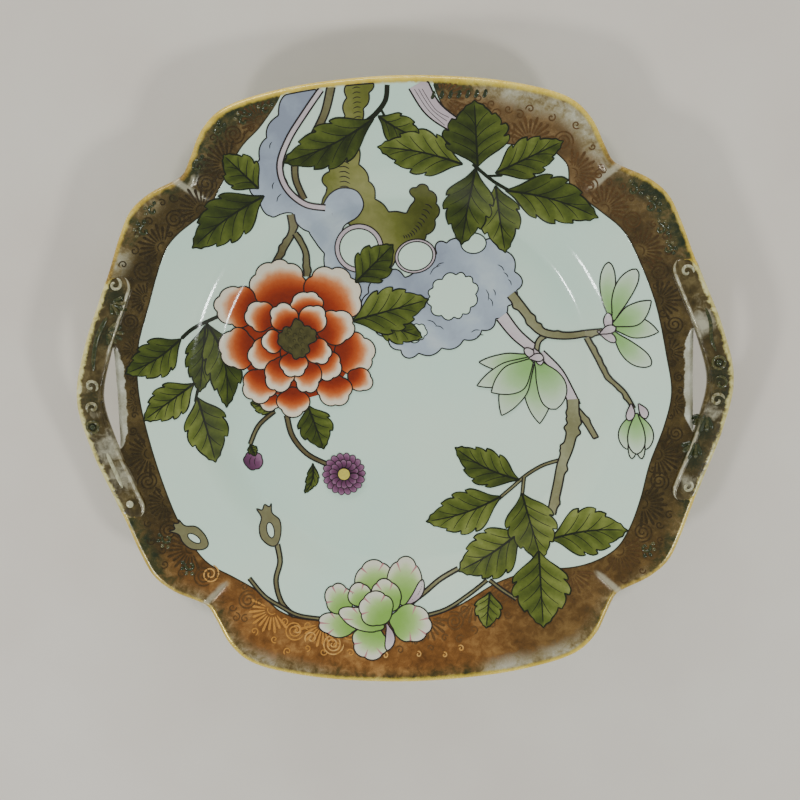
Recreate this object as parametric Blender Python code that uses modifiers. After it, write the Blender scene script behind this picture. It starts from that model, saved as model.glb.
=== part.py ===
"""A handled china serving platter, made the way a potter assembles one.

Four pieces are luted together with thin slip: the lobed dish (platter_body), the turned
foot ring under its floor, and a curved, pierced scroll handle let into the rim at each end.
Lengths are in metres. The platter lies flat on its foot ring: +Z is up, +X runs from handle
to handle, and the origin is the middle of the footprint.
"""

import math

import bmesh
import bpy

# Overall sizes
LENGTH_OVER_HANDLES = 0.268
WIDTH = 0.2512
RIM_HEIGHT = 0.027

# Dish
WELL_RADIUS = 0.076
CAVETTO_RUN = 0.016
CAVETTO_SHARE = 0.52  # of the rise from the floor to the lip
WALL = 0.0042
LIP_UPTURN = 0.0012

# Foot ring
FOOT_HEIGHT = 0.006
FOOT_WIDTH = 0.005
FOOT_INSET = 0.003  # from the edge of the flat floor
FOOT_EDGE = 0.0009

# Handles
HANDLE_REACH = 0.0475  # along Y, from the middle of the bar's outer edge to where its end rounds off
HANDLE_BAR_WIDTH = 0.0105
HANDLE_THICKNESS = 0.007
HANDLE_EDGE = 0.0024
SLOT_WIDTH = 0.0055

# Joints
LUTING_GAP = 0.0003  # the slip between two luted pieces

# Fineness
TURN_STEPS = 112
FOOT_STEPS = 72
CAVETTO_STEPS = 5
RIM_STEPS = 4
LIP_STEPS = 6
SPAN_STEPS = 6
HANDLE_STEPS = 26
CAP_STEPS = 8
EDGE_STEPS = 4
WELD_DISTANCE = 1e-6
FLAT_ANGLE = 1e-4  # radians: neighbouring faces this close to level become one
SLOPE_SAMPLE = 1e-5
EDGE_SAMPLE = 1e-4
SMOOTH_ANGLE = math.radians(35)

HALF_LENGTH = LENGTH_OVER_HANDLES / 2
HALF_WIDTH = WIDTH / 2
CAVETTO_RADIUS = WELL_RADIUS + CAVETTO_RUN
FLOOR_MIDDLE = FOOT_HEIGHT + LUTING_GAP + WALL / 2
LIP_MIDDLE = HALF_WIDTH - WALL / 2
RISE = RIM_HEIGHT - WALL / 2 - FLOOR_MIDDLE

# One quarter of the lobed outline, from the middle of a handle round to the middle of a long
# side, as shares of the half length and the half width. The sharp inward turn is the notch.
QUARTER_OUTLINE = (
    (1.000, 0.000),
    (0.966, 0.168),
    (0.905, 0.335),
    (0.873, 0.422),
    (0.840, 0.518),
    (0.802, 0.602),
    (0.743, 0.657),
    (0.668, 0.695),
    (0.636, 0.717),
    (0.613, 0.765),
    (0.575, 0.850),
    (0.512, 0.914),
    (0.400, 0.955),
    (0.230, 0.986),
    (0.000, 1.000),
)

CHINA_COLOUR = (0.78, 0.78, 0.72, 1.0)
FOOT_COLOUR = (0.70, 0.68, 0.60, 1.0)
HANDLE_COLOUR = (0.36, 0.34, 0.17, 1.0)
GLAZE_ROUGHNESS = 0.12
FOOT_ROUGHNESS = 0.45


def clear_scene():
    for obj in list(bpy.data.objects):
        bpy.data.objects.remove(obj)


def new_collection(name):
    collection = bpy.data.collections.new(name)
    bpy.context.scene.collection.children.link(collection)
    return collection


def new_material(name, colour, roughness):
    material = bpy.data.materials.new(name)
    material.use_nodes = True
    shader = material.node_tree.nodes["Principled BSDF"]
    shader.inputs["Base Color"].default_value = colour
    shader.inputs["Roughness"].default_value = roughness
    shader.inputs["Metallic"].default_value = 0.0
    return material


def spline_point(before, start, end, after, share):
    """A point of the Catmull-Rom curve between start and end."""
    point = []
    for p, q, r, s in zip(before, start, end, after):
        cubic = -p + 3 * q - 3 * r + s
        square = 2 * p - 5 * q + 4 * r - s
        point.append(q + 0.5 * share * (r - p + share * (square + share * cubic)))
    return point


def full_outline():
    """The whole lobed outline, anticlockwise from the middle of the +X handle."""
    quarter = [(x * HALF_LENGTH, y * HALF_WIDTH) for x, y in QUARTER_OUTLINE]
    half = quarter + [(-x, y) for x, y in reversed(quarter[:-1])]
    corners = half + [(x, -y) for x, y in reversed(half[1:-1])]
    count = len(corners)
    points = []
    for i in range(count):
        around = [corners[(i + k) % count] for k in (-1, 0, 1, 2)]
        for step in range(SPAN_STEPS):
            points.append(spline_point(*around, step / SPAN_STEPS))
    return points


OUTLINE = full_outline()


def rim_radius(angle):
    """The outline's distance from the middle in the direction of the angle."""
    direction = (math.cos(angle), math.sin(angle))
    for (ax, ay), (bx, by) in zip(OUTLINE, OUTLINE[1:] + OUTLINE[:1]):
        side_a = direction[0] * ay - direction[1] * ax
        side_b = direction[0] * by - direction[1] * bx
        ahead = direction[0] * (ax + bx) + direction[1] * (ay + by) > 0
        if ahead and side_a <= 0 < side_b:
            share = side_a / (side_a - side_b)
            return math.hypot(ax + share * (bx - ax), ay + share * (by - ay))
    return HALF_LENGTH


def smooth_step(share):
    share = min(max(share, 0.0), 1.0)
    return share * share * (3 - 2 * share)


def wall_height(radius):
    """The middle of the dish's wall: flat floor, curved cavetto, then a rim that turns up a little."""
    cavetto = smooth_step((radius - WELL_RADIUS) / CAVETTO_RUN)
    rim = max((radius - CAVETTO_RADIUS) / (LIP_MIDDLE - CAVETTO_RADIUS), 0.0)
    rim_rise = RISE * (1 - CAVETTO_SHARE) - LIP_UPTURN
    return FLOOR_MIDDLE + RISE * CAVETTO_SHARE * cavetto + rim_rise * rim + LIP_UPTURN * rim**3


def wall_slope(radius):
    if radius <= WELL_RADIUS:
        return 0.0
    change = wall_height(radius + SLOPE_SAMPLE) - wall_height(radius - SLOPE_SAMPLE)
    return change / (2 * SLOPE_SAMPLE)


def dish_section():
    """Half of the dish's cross-section, from the top of the axis out and back to the axis."""
    half_wall = WALL / 2
    radii = [0.0, WELL_RADIUS]
    radii += [WELL_RADIUS + CAVETTO_RUN * step / CAVETTO_STEPS for step in range(1, CAVETTO_STEPS + 1)]
    rim_step = (LIP_MIDDLE - CAVETTO_RADIUS) / RIM_STEPS
    radii += [CAVETTO_RADIUS + rim_step * step for step in range(1, RIM_STEPS + 1)]
    top, under = [], []
    for radius in radii:
        slope, height = wall_slope(radius), wall_height(radius)
        length = math.hypot(1, slope)
        across = (half_wall * slope / length, half_wall / length)
        top.append((radius - across[0], height + across[1]))
        under.append((radius + across[0], height - across[1]))
    tilt = math.atan(wall_slope(LIP_MIDDLE))
    lip = []
    for step in range(1, LIP_STEPS):
        angle = math.pi / 2 + tilt - math.pi * step / LIP_STEPS
        across = (half_wall * math.cos(angle), half_wall * math.sin(angle))
        lip.append((LIP_MIDDLE + across[0], wall_height(LIP_MIDDLE) + across[1]))
    return top + lip + under[::-1]


def as_mesh(obj, name, collection):
    """The evaluated object as a mesh object of its own, with seams welded and flat caps made whole."""
    bpy.context.view_layer.update()
    evaluated = obj.evaluated_get(bpy.context.evaluated_depsgraph_get())
    mesh = bpy.data.meshes.new_from_object(evaluated)
    work = bmesh.new()
    work.from_mesh(mesh)
    bmesh.ops.remove_doubles(work, verts=work.verts, dist=WELD_DISTANCE)
    bmesh.ops.dissolve_limit(work, angle_limit=FLAT_ANGLE, verts=work.verts, edges=work.edges)
    bmesh.ops.recalc_face_normals(work, faces=work.faces)
    work.to_mesh(mesh)
    work.free()
    made = bpy.data.objects.new(name, mesh)
    made.matrix_world = obj.matrix_world
    collection.objects.link(made)
    bpy.data.objects.remove(obj)
    return made


def turned(name, section, steps, collection):
    """A solid turned about Z from a section at +X that runs down its outer side."""
    mesh = bpy.data.meshes.new(name)
    edges = [(i, i + 1) for i in range(len(section) - 1)]
    if section[0] == section[-1]:
        section = section[:-1]
        edges[-1] = (len(section) - 1, 0)
    mesh.from_pydata([(x, 0.0, z) for x, z in section], edges, [])
    profile = bpy.data.objects.new(name + "_profile", mesh)
    collection.objects.link(profile)
    screw = profile.modifiers.new("turn", "SCREW")
    screw.steps = steps
    screw.render_steps = steps
    screw.use_merge_vertices = True
    screw.merge_threshold = WELD_DISTANCE
    return as_mesh(profile, name, collection)


def extruded(name, outline, thickness, height, collection):
    """A flat outline raised to a thickness, with its middle at the height."""
    curve = bpy.data.curves.new(name, "CURVE")
    curve.dimensions = "2D"
    curve.fill_mode = "BOTH"
    curve.extrude = thickness / 2
    spline = curve.splines.new("POLY")
    spline.points.add(len(outline) - 1)
    for point, (x, y) in zip(spline.points, outline):
        point.co = (x, y, 0.0, 1.0)
    spline.use_cyclic_u = True
    flat = bpy.data.objects.new(name + "_outline", curve)
    flat.location.z = height
    collection.objects.link(flat)
    return as_mesh(flat, name, collection)


def smooth(obj):
    obj.data.shade_smooth()
    obj.data.set_sharp_from_angle(angle=SMOOTH_ANGLE)


def handle_edges(gap):
    """The bar's outer and inner edge at the +X end, bottom to top, grown by the gap.

    The outer edge is the platter's own outline, and the inner edge runs a bar's width inside it.
    A gap below zero draws both edges in towards the bar's middle line.
    """
    outer, inner = [], []
    for step in range(HANDLE_STEPS + 1):
        y = HANDLE_REACH * (2 * step / HANDLE_STEPS - 1)
        x = outline_x(y)
        run = (outline_x(y + EDGE_SAMPLE) - outline_x(y - EDGE_SAMPLE)) / (2 * EDGE_SAMPLE)
        length = math.hypot(1, run)
        normal = (1 / length, -run / length)
        outer.append((x + gap * normal[0], y + gap * normal[1]))
        width = HANDLE_BAR_WIDTH + gap
        inner.append((x - width * normal[0], y - width * normal[1]))
    return outer, inner


def outline_x(y):
    """The outline's X at the +X end, at a height Y that the handle reaches."""
    wanted = abs(y)
    for (ax, ay), (bx, by) in zip(OUTLINE, OUTLINE[1:]):
        if ay <= wanted <= by:
            return ax + (bx - ax) * (wanted - ay) / (by - ay)
    return HALF_LENGTH


def round_end(start, finish):
    """A half circle of points, anticlockwise round an end of the bar from one edge to the other."""
    middle = ((start[0] + finish[0]) / 2, (start[1] + finish[1]) / 2)
    radius = math.dist(start, finish) / 2
    first = math.atan2(start[1] - middle[1], start[0] - middle[0])
    points = []
    for step in range(1, CAP_STEPS):
        angle = first + math.pi * step / CAP_STEPS
        points.append((middle[0] + radius * math.cos(angle), middle[1] + radius * math.sin(angle)))
    return points


def bar_outline(side, inset):
    """The bar seen from above, drawn in all round by the inset."""
    outer, inner = handle_edges(-inset)
    outline = outer + round_end(outer[-1], inner[-1]) + inner[::-1] + round_end(inner[0], outer[0])
    return [(side * x, y) for x, y in outline]


def bay_outline(side):
    """The recess that the handle and its slot take out of the rim, open to the outside."""
    outer, inner = handle_edges(LUTING_GAP)
    slot_edge = HALF_LENGTH - HANDLE_BAR_WIDTH - SLOT_WIDTH
    inner = [(min(x, slot_edge), y) for x, y in inner]
    beyond = HALF_LENGTH + WALL
    top = round_end(outer[-1], inner[-1])
    bottom = round_end(inner[0], outer[0])
    outline = [(beyond, outer[0][1]), (beyond, outer[-1][1]), outer[-1]]
    outline += top + inner[::-1] + bottom + [outer[0]]
    return [(side * x, y) for x, y in outline]


def make_body(parts, cutters):
    body = turned("platter_body", dish_section(), TURN_STEPS, parts)
    for vertex in body.data.vertices:
        x, y = vertex.co.x, vertex.co.y
        radius = math.hypot(x, y)
        if radius > CAVETTO_RADIUS:
            stretch = (rim_radius(math.atan2(y, x)) - CAVETTO_RADIUS) / (HALF_WIDTH - CAVETTO_RADIUS)
            share = (CAVETTO_RADIUS + (radius - CAVETTO_RADIUS) * stretch) / radius
            vertex.co.x = x * share
            vertex.co.y = y * share
    for name, side in (("left", -1), ("right", 1)):
        bay = extruded(name + "_bay_cutter", bay_outline(side), RIM_HEIGHT * 2, RIM_HEIGHT, cutters)
        bay.hide_render = True
        bay.display_type = "WIRE"
        cut = body.modifiers.new(name + "_bay", "BOOLEAN")
        cut.operation = "DIFFERENCE"
        cut.object = bay
    smooth(body)
    return body


def make_foot_ring(parts):
    outer = WELL_RADIUS - FOOT_INSET
    inner = outer - FOOT_WIDTH
    section = [
        (inner, FOOT_HEIGHT),
        (outer, FOOT_HEIGHT),
        (outer, FOOT_EDGE),
        (outer - FOOT_EDGE, 0.0),
        (inner + FOOT_EDGE, 0.0),
        (inner, FOOT_EDGE),
        (inner, FOOT_HEIGHT),
    ]
    ring = turned("foot_ring", section, FOOT_STEPS, parts)
    smooth(ring)
    return ring


def handle_levels():
    """How far the rounded bar is drawn in, and its height from its middle, from top to bottom."""
    straight = HANDLE_THICKNESS / 2 - HANDLE_EDGE
    upper = []
    for step in range(EDGE_STEPS + 1):
        turn = math.pi / 2 * step / EDGE_STEPS
        upper.append((HANDLE_EDGE * (1 - math.sin(turn)), straight + HANDLE_EDGE * math.cos(turn)))
    return upper + [(inset, -height) for inset, height in reversed(upper)]


def make_handle(name, side, parts):
    """The bar as a stack of its own outline, each level drawn in as the rounded edge asks."""
    middle = wall_height(HALF_WIDTH - HANDLE_BAR_WIDTH / 2)
    work = bmesh.new()
    rings = []
    for inset, height in handle_levels():
        outline = bar_outline(side, inset)
        rings.append([work.verts.new((x, y, middle + height)) for x, y in outline])
    for upper, lower in zip(rings, rings[1:]):
        for i, corner in enumerate(upper):
            work.faces.new((upper[i - 1], lower[i - 1], lower[i], corner))
    work.faces.new(rings[0])
    work.faces.new(rings[-1][::-1])
    bmesh.ops.recalc_face_normals(work, faces=work.faces)
    mesh = bpy.data.meshes.new(name)
    work.to_mesh(mesh)
    work.free()
    handle = bpy.data.objects.new(name, mesh)
    parts.objects.link(handle)
    smooth(handle)
    return handle


def main():
    clear_scene()
    parts = new_collection("china_serving_platter")
    cutters = new_collection("cutters")
    china = new_material("glazed_china", CHINA_COLOUR, GLAZE_ROUGHNESS)
    bare = new_material("wiped_foot", FOOT_COLOUR, FOOT_ROUGHNESS)
    banded = new_material("banded_handle", HANDLE_COLOUR, GLAZE_ROUGHNESS)
    make_body(parts, cutters).data.materials.append(china)
    make_foot_ring(parts).data.materials.append(bare)
    make_handle("left_handle", -1, parts).data.materials.append(banded)
    make_handle("right_handle", 1, parts).data.materials.append(banded)


main()
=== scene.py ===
"""The looks of the handled china serving platter: glazed body, gilt border and raised enamel painting.

Lengths in this script are millimetres until a mesh is written, where they become metres.
"""

import math
import random

import bpy
import numpy as np
from mathutils import Matrix, Vector, geometry


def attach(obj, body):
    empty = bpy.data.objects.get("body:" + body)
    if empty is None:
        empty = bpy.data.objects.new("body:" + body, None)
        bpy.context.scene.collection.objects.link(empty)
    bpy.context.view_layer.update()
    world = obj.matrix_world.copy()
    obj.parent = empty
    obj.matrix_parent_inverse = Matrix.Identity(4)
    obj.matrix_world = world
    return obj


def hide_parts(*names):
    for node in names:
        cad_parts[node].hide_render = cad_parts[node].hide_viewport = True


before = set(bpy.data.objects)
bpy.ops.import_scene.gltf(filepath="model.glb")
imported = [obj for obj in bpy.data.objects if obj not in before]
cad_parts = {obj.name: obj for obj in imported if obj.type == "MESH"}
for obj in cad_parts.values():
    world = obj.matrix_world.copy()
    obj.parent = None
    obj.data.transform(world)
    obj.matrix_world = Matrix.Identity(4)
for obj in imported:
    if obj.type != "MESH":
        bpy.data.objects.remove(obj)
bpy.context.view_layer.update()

MM = 0.001

# ---------------------------------------------------------------- the dish's form, as in the CAD
HALF_LENGTH, HALF_WIDTH = 134.0, 125.6
RIM_HEIGHT, WALL, LIP_UPTURN = 27.0, 4.2, 1.2
WELL_RADIUS, CAVETTO_RUN, CAVETTO_SHARE = 76.0, 16.0, 0.52
FOOT_HEIGHT, FOOT_WIDTH, FOOT_INSET = 6.0, 5.0, 3.0
HANDLE_REACH, BAR_WIDTH, BAR_THICKNESS, SLOT_WIDTH = 47.5, 10.5, 7.0, 5.5
LUTING_GAP = 0.3
CAVETTO_RADIUS = WELL_RADIUS + CAVETTO_RUN
FLOOR_MIDDLE = FOOT_HEIGHT + LUTING_GAP + WALL / 2
LIP_MIDDLE = HALF_WIDTH - WALL / 2
RISE = RIM_HEIGHT - WALL / 2 - FLOOR_MIDDLE
SLOT_EDGE = HALF_LENGTH - BAR_WIDTH - SLOT_WIDTH
# A quarter of the outline, as shares of the half length and the half width.
QUARTER = (
    (1.000, 0.000), (0.966, 0.168), (0.905, 0.335), (0.873, 0.422), (0.840, 0.518),
    (0.802, 0.602), (0.743, 0.657), (0.668, 0.695), (0.636, 0.717), (0.613, 0.765),
    (0.575, 0.850), (0.512, 0.914), (0.400, 0.955), (0.230, 0.986), (0.000, 1.000),
)


def catmull(points, steps, closed):
    """Points along the smooth curve through the given ones."""
    pts = np.array(points, float)
    n = len(pts)
    out = []
    for i in range(n if closed else n - 1):
        if closed:
            a, b, c, d = (pts[(i + k) % n] for k in (-1, 0, 1, 2))
        else:
            a, b, c, d = pts[max(i - 1, 0)], pts[i], pts[i + 1], pts[min(i + 2, n - 1)]
        t = np.linspace(0, 1, steps, endpoint=False)[:, None]
        out.append(b + 0.5 * t * (c - a + t * (2 * a - 5 * b + 4 * c - d + t * (3 * b - a - 3 * c + d))))
    if not closed:
        out.append(pts[-1:])
    return np.vstack(out)


def spaced(points, step, closed=False):
    """The same line, with its points an even step apart."""
    pts = np.vstack([points, points[:1]]) if closed else np.array(points, float)
    run = np.r_[0, np.cumsum(np.hypot(*np.diff(pts, axis=0).T))]
    count = max(int(round(run[-1] / step)), 2)
    at = np.linspace(0, run[-1], count + 1)
    if closed:
        at = at[:-1]
    return np.column_stack([np.interp(at, run, pts[:, 0]), np.interp(at, run, pts[:, 1])])


quarter = [(x * HALF_LENGTH, y * HALF_WIDTH) for x, y in QUARTER]
half = quarter + [(-x, y) for x, y in reversed(quarter[:-1])]
OUTLINE = catmull(half + [(x, -y) for x, y in reversed(half[1:-1])], 16, True)
_turn = np.unwrap(np.arctan2(OUTLINE[:, 1], OUTLINE[:, 0]))
_reach = np.hypot(OUTLINE[:, 0], OUTLINE[:, 1])


def rim_radius(angle):
    return np.interp(np.mod(angle, 2 * np.pi), np.mod(_turn, 2 * np.pi), _reach, period=2 * np.pi)


def wall_height(radius):
    s = np.clip((radius - WELL_RADIUS) / CAVETTO_RUN, 0, 1)
    rim = np.maximum((radius - CAVETTO_RADIUS) / (LIP_MIDDLE - CAVETTO_RADIUS), 0)
    rise = RISE * (1 - CAVETTO_SHARE) - LIP_UPTURN
    return FLOOR_MIDDLE + RISE * CAVETTO_SHARE * s * s * (3 - 2 * s) + rise * rim + LIP_UPTURN * rim**3


_r = np.linspace(0, LIP_MIDDLE, 5000)
_slope = np.gradient(wall_height(_r), _r)
_slope[_r <= WELL_RADIUS] = 0
_len = np.hypot(1, _slope)
TOP_R, TOP_Z = _r - WALL / 2 * _slope / _len, wall_height(_r) + WALL / 2 / _len
UNDER_R, UNDER_Z = _r + WALL / 2 * _slope / _len, wall_height(_r) - WALL / 2 / _len


def unstretched(x, y):
    """The distance from the middle that a point of the lobed dish has in the round section."""
    r = np.hypot(x, y)
    reach = rim_radius(np.arctan2(y, x)) - CAVETTO_RADIUS
    inward = CAVETTO_RADIUS + (r - CAVETTO_RADIUS) * (HALF_WIDTH - CAVETTO_RADIUS) / reach
    return np.where(r > CAVETTO_RADIUS, inward, r)


def outline_x(y):
    upper = OUTLINE[: len(OUTLINE) // 4 + 1]
    return np.interp(np.abs(y), upper[:, 1], upper[:, 0])


def soft(value, low, high):
    t = np.clip((value - low) / (high - low), 0, 1)
    return t * t * (3 - 2 * t)


def to_path(x, y, path, closed=False):
    """The distance from each point to a polyline, and how far along it the nearest point lies."""
    pts = np.vstack([path, path[:1]]) if closed else np.array(path, float)
    a, d = pts[:-1], np.diff(pts, axis=0)
    size = np.maximum((d**2).sum(1), 1e-12)
    run = np.r_[0, np.cumsum(np.sqrt(size))]
    best = np.full(np.shape(x), 1e9)
    along = np.zeros(np.shape(x))
    for i in range(len(a)):
        t = np.clip(((x - a[i, 0]) * d[i, 0] + (y - a[i, 1]) * d[i, 1]) / size[i], 0, 1)
        dist = np.hypot(x - a[i, 0] - t * d[i, 0], y - a[i, 1] - t * d[i, 1])
        nearer = dist < best
        best = np.where(nearer, dist, best)
        along = np.where(nearer, (run[i] + t * np.sqrt(size[i])) / run[-1], along)
    return best, along


def inside(x, y, loop):
    a, b = np.array(loop), np.roll(loop, -1, axis=0)
    hits = np.zeros(np.shape(x), int)
    for (ax, ay), (bx, by) in zip(a, b):
        if ay != by:
            hits += ((ay > y) != (by > y)) & (x < (bx - ax) * (y - ay) / (by - ay) + ax)
    return hits % 2 == 1


def grid_inside(loop, step, stagger=0.0):
    """The points of a square grid that lie inside the loop, with every second row shifted by the stagger."""
    gx, gy = np.meshgrid(*(np.arange(low, high, step) for low, high in zip(loop.min(0), loop.max(0))))
    gx = gx + (np.arange(len(gx))[:, None] % 2) * stagger
    grid = np.column_stack([gx.ravel(), gy.ravel()])
    return grid[inside(*grid.T, loop)]


def left_of(path, closed=False, reach=1):
    """The unit direction to the left at each point of a line."""
    ahead = np.roll(path, -reach, 0) - np.roll(path, reach, 0) if closed else np.gradient(path, axis=0)
    return np.column_stack([-ahead[:, 1], ahead[:, 0]]) / np.maximum(np.hypot(*ahead.T), 1e-9)[:, None]


def polar(x, y, radius, angle):
    return x + radius * math.cos(angle), y + radius * math.sin(angle)


def ring_faces(rows, columns, first=0, wrap=False):
    """Quads between neighbouring rows of points, each row a closed ring."""
    faces = []
    for i in range(rows if wrap else rows - 1):
        here, there = first + i * columns, first + (i + 1) % rows * columns
        for k in range(columns):
            after = (k + 1) % columns
            faces.append((here + k, there + k, there + after, here + after))
    return faces


# ---------------------------------------------------------------- where the border lies
GROUND = catmull([
    (15, 121), (21, 109), (32, 100), (46, 97), (58, 96), (67, 89), (69, 79), (80, 70), (90, 61), (97, 47),
    (103, 30), (107, 10), (109, -5), (106, -19), (100, -35), (96, -50), (91, -63), (84, -72), (70, -78),
    (52, -80), (36, -85), (18, -95), (2, -98), (-20, -98), (-42, -98), (-55, -94), (-64, -85), (-74, -78),
    (-86, -70), (-95, -55), (-101, -38), (-106, -18), (-109, 2), (-108, 20), (-103, 36), (-96, 56),
    (-90, 65), (-77, 75), (-71, 84), (-62, 99), (-53, 108), (-44, 121), (-42, 135), (12, 135),
], 6, True)
NOTCH_RIDGES = [
    ([(-89, 88), (-82, 83), (-75, 78)], 1.5, 0.9), ([(-83, 84), (-80, 91)], 1.1, 0.6),
    ([(89, 89), (82, 84), (74, 77)], 1.5, 0.9), ([(83, 85), (80, 91)], 1.1, 0.6),
    ([(-88, -89), (-82, -84), (-75, -78)], 1.4, 0.8), ([(88, -89), (82, -84), (75, -78)], 1.4, 0.8),
]


def ridge_lift(x, y):
    total = np.zeros(np.shape(x))
    for path, width, height in NOTCH_RIDGES:
        dist, along = to_path(x, y, path)
        total = np.maximum(total, height * np.exp(-(dist / width) ** 2) * soft(1 - along, 0, 0.35))
    return total


def slot_fade(y):
    return 1 - soft(np.abs(y), 18.5, 23.5)


EDGE_ROLL = 3.7


def slot_drop(x, y):
    """How far the dish's edge rolls down as it nears the slot."""
    into = np.clip(EDGE_ROLL - (SLOT_EDGE - np.abs(x)), 0, EDGE_ROLL * 0.985)
    return (EDGE_ROLL - np.sqrt(EDGE_ROLL**2 - into**2)) * slot_fade(y) * 0.8


def dish_top(x, y):
    x, y = np.asarray(x, float), np.asarray(y, float)
    z = np.interp(unstretched(x, y), TOP_R, TOP_Z)
    return z + ridge_lift(x, y) - np.where(np.abs(x) > SLOT_EDGE - EDGE_ROLL, slot_drop(x, y), 0)


# ---------------------------------------------------------------- meshes and materials
def new_object(name, points, faces, attributes=None, smooth=True):
    mesh = bpy.data.meshes.new(name)
    mesh.from_pydata((np.asarray(points, float) * MM).tolist(), [], [tuple(map(int, f)) for f in faces])
    for key, values in (attributes or {}).items():
        mesh.attributes.new(key, "FLOAT", "POINT").data.foreach_set("value", np.asarray(values, np.float32))
    if smooth:
        mesh.shade_smooth()
    obj = bpy.data.objects.new(name, mesh)
    bpy.context.scene.collection.objects.link(obj)
    return obj


class Shade:
    """A short way to write a material's nodes."""

    def __init__(self, name):
        self.material = bpy.data.materials.new(name)
        self.material.use_nodes = True
        self.tree = self.material.node_tree
        self.shader = self.tree.nodes["Principled BSDF"]
        self.place = self.node("ShaderNodeTexCoord").outputs["Object"]

    def node(self, kind, inputs=(), **settings):
        made = self.tree.nodes.new(kind)
        for key, value in settings.items():
            setattr(made, key, value)
        for key, value in dict(inputs).items():
            self.put(made.inputs[key], value)
        return made

    def put(self, socket, value):
        if isinstance(value, bpy.types.NodeSocket):
            self.tree.links.new(value, socket)
        elif socket.type == "RGBA":
            socket.default_value = (*value, 1.0)
        else:
            socket.default_value = value

    def value(self, name):
        return self.node("ShaderNodeAttribute", attribute_name=name).outputs["Fac"]

    def noise(self, size, detail=3.0, rough=0.5, warp=0.0):
        """Noise whose features are about this many millimetres across."""
        look = {"Scale": 1 / (size * MM), "Detail": detail, "Roughness": rough, "Distortion": warp}
        return self.node("ShaderNodeTexNoise", {"Vector": self.place, **look}).outputs["Fac"]

    def sum(self, a, b, kind="ADD"):
        return self.node("ShaderNodeMath", {0: a, 1: b}, operation=kind).outputs[0]

    def less(self, a, b):
        return self.sum(a, b, "SUBTRACT")

    def times(self, a, b):
        return self.sum(a, b, "MULTIPLY")

    def sway(self, noise, size):
        """The noise about zero, scaled."""
        return self.times(self.less(noise, 0.5), size)

    def blend(self, a, share_a, b, share_b):
        return self.sum(self.times(a, share_a), self.times(b, share_b))

    def step(self, value, low, high, out_low=0.0, out_high=1.0):
        span = {"From Min": low, "From Max": high, "To Min": out_low, "To Max": out_high}
        made = self.node("ShaderNodeMapRange", {"Value": value, **span}, interpolation_type="SMOOTHSTEP")
        return made.outputs["Result"]

    def ramp(self, value, stops):
        made = self.node("ShaderNodeValToRGB", {"Fac": value})
        elements = made.color_ramp.elements
        while len(elements) < len(stops):
            elements.new(0.5)
        for element, (place, colour) in zip(elements, stops):
            element.position = place
            element.color = (*linear(colour), 1.0)
        return made.outputs["Color"]

    def mix(self, share, a, b):
        """Two colours mixed. Sockets 6 and 7 are the node's colour inputs, and 2 its colour output."""
        return self.node("ShaderNodeMix", {"Factor": share, 6: a, 7: b}, data_type="RGBA").outputs[2]

    def finish(self, colour, roughness, metal=None, bump=None, depth=0.02):
        inputs = {"Base Color": colour, "Roughness": roughness}
        if metal is not None:
            inputs["Metallic"] = metal
        if bump is not None:
            made = self.node("ShaderNodeBump", {"Height": bump, "Distance": depth * MM, "Strength": 1.0})
            inputs["Normal"] = made.outputs["Normal"]
        for key, value in inputs.items():
            self.put(self.shader.inputs[key], value)
        return self.material


def linear(colour):
    """An sRGB colour given 0 to 255 as the linear values that a shader takes."""
    shares = (c / 255 for c in colour)
    return tuple(c / 12.92 if c <= 0.04045 else ((c + 0.055) / 1.055) ** 2.4 for c in shares)


def top_uv(obj):
    """A texture layout seen straight from above, so that a flat pattern keeps its detail when baked."""
    layer = obj.data.uv_layers.new(name="OFBake")
    places = np.empty(len(obj.data.vertices) * 3)
    obj.data.vertices.foreach_get("co", places)
    places = places.reshape(-1, 3)[:, :2]
    low = places.min(0)
    size = (places.max(0) - low).max() * 1.02
    corners = np.empty(len(obj.data.loops), int)
    obj.data.loops.foreach_get("vertex_index", corners)
    layer.data.foreach_set("uv", (((places - low) / size) + 0.01)[corners].ravel())


def keep(obj, material, slot, *nodes):
    obj.data.materials.append(material)
    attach(obj, "root")
    if nodes:
        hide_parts(*nodes)
    return obj


# ---------------------------------------------------------------- materials
CHINA_WHITE = [(0.3, (206, 234, 216)), (0.7, (216, 236, 216))]


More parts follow.
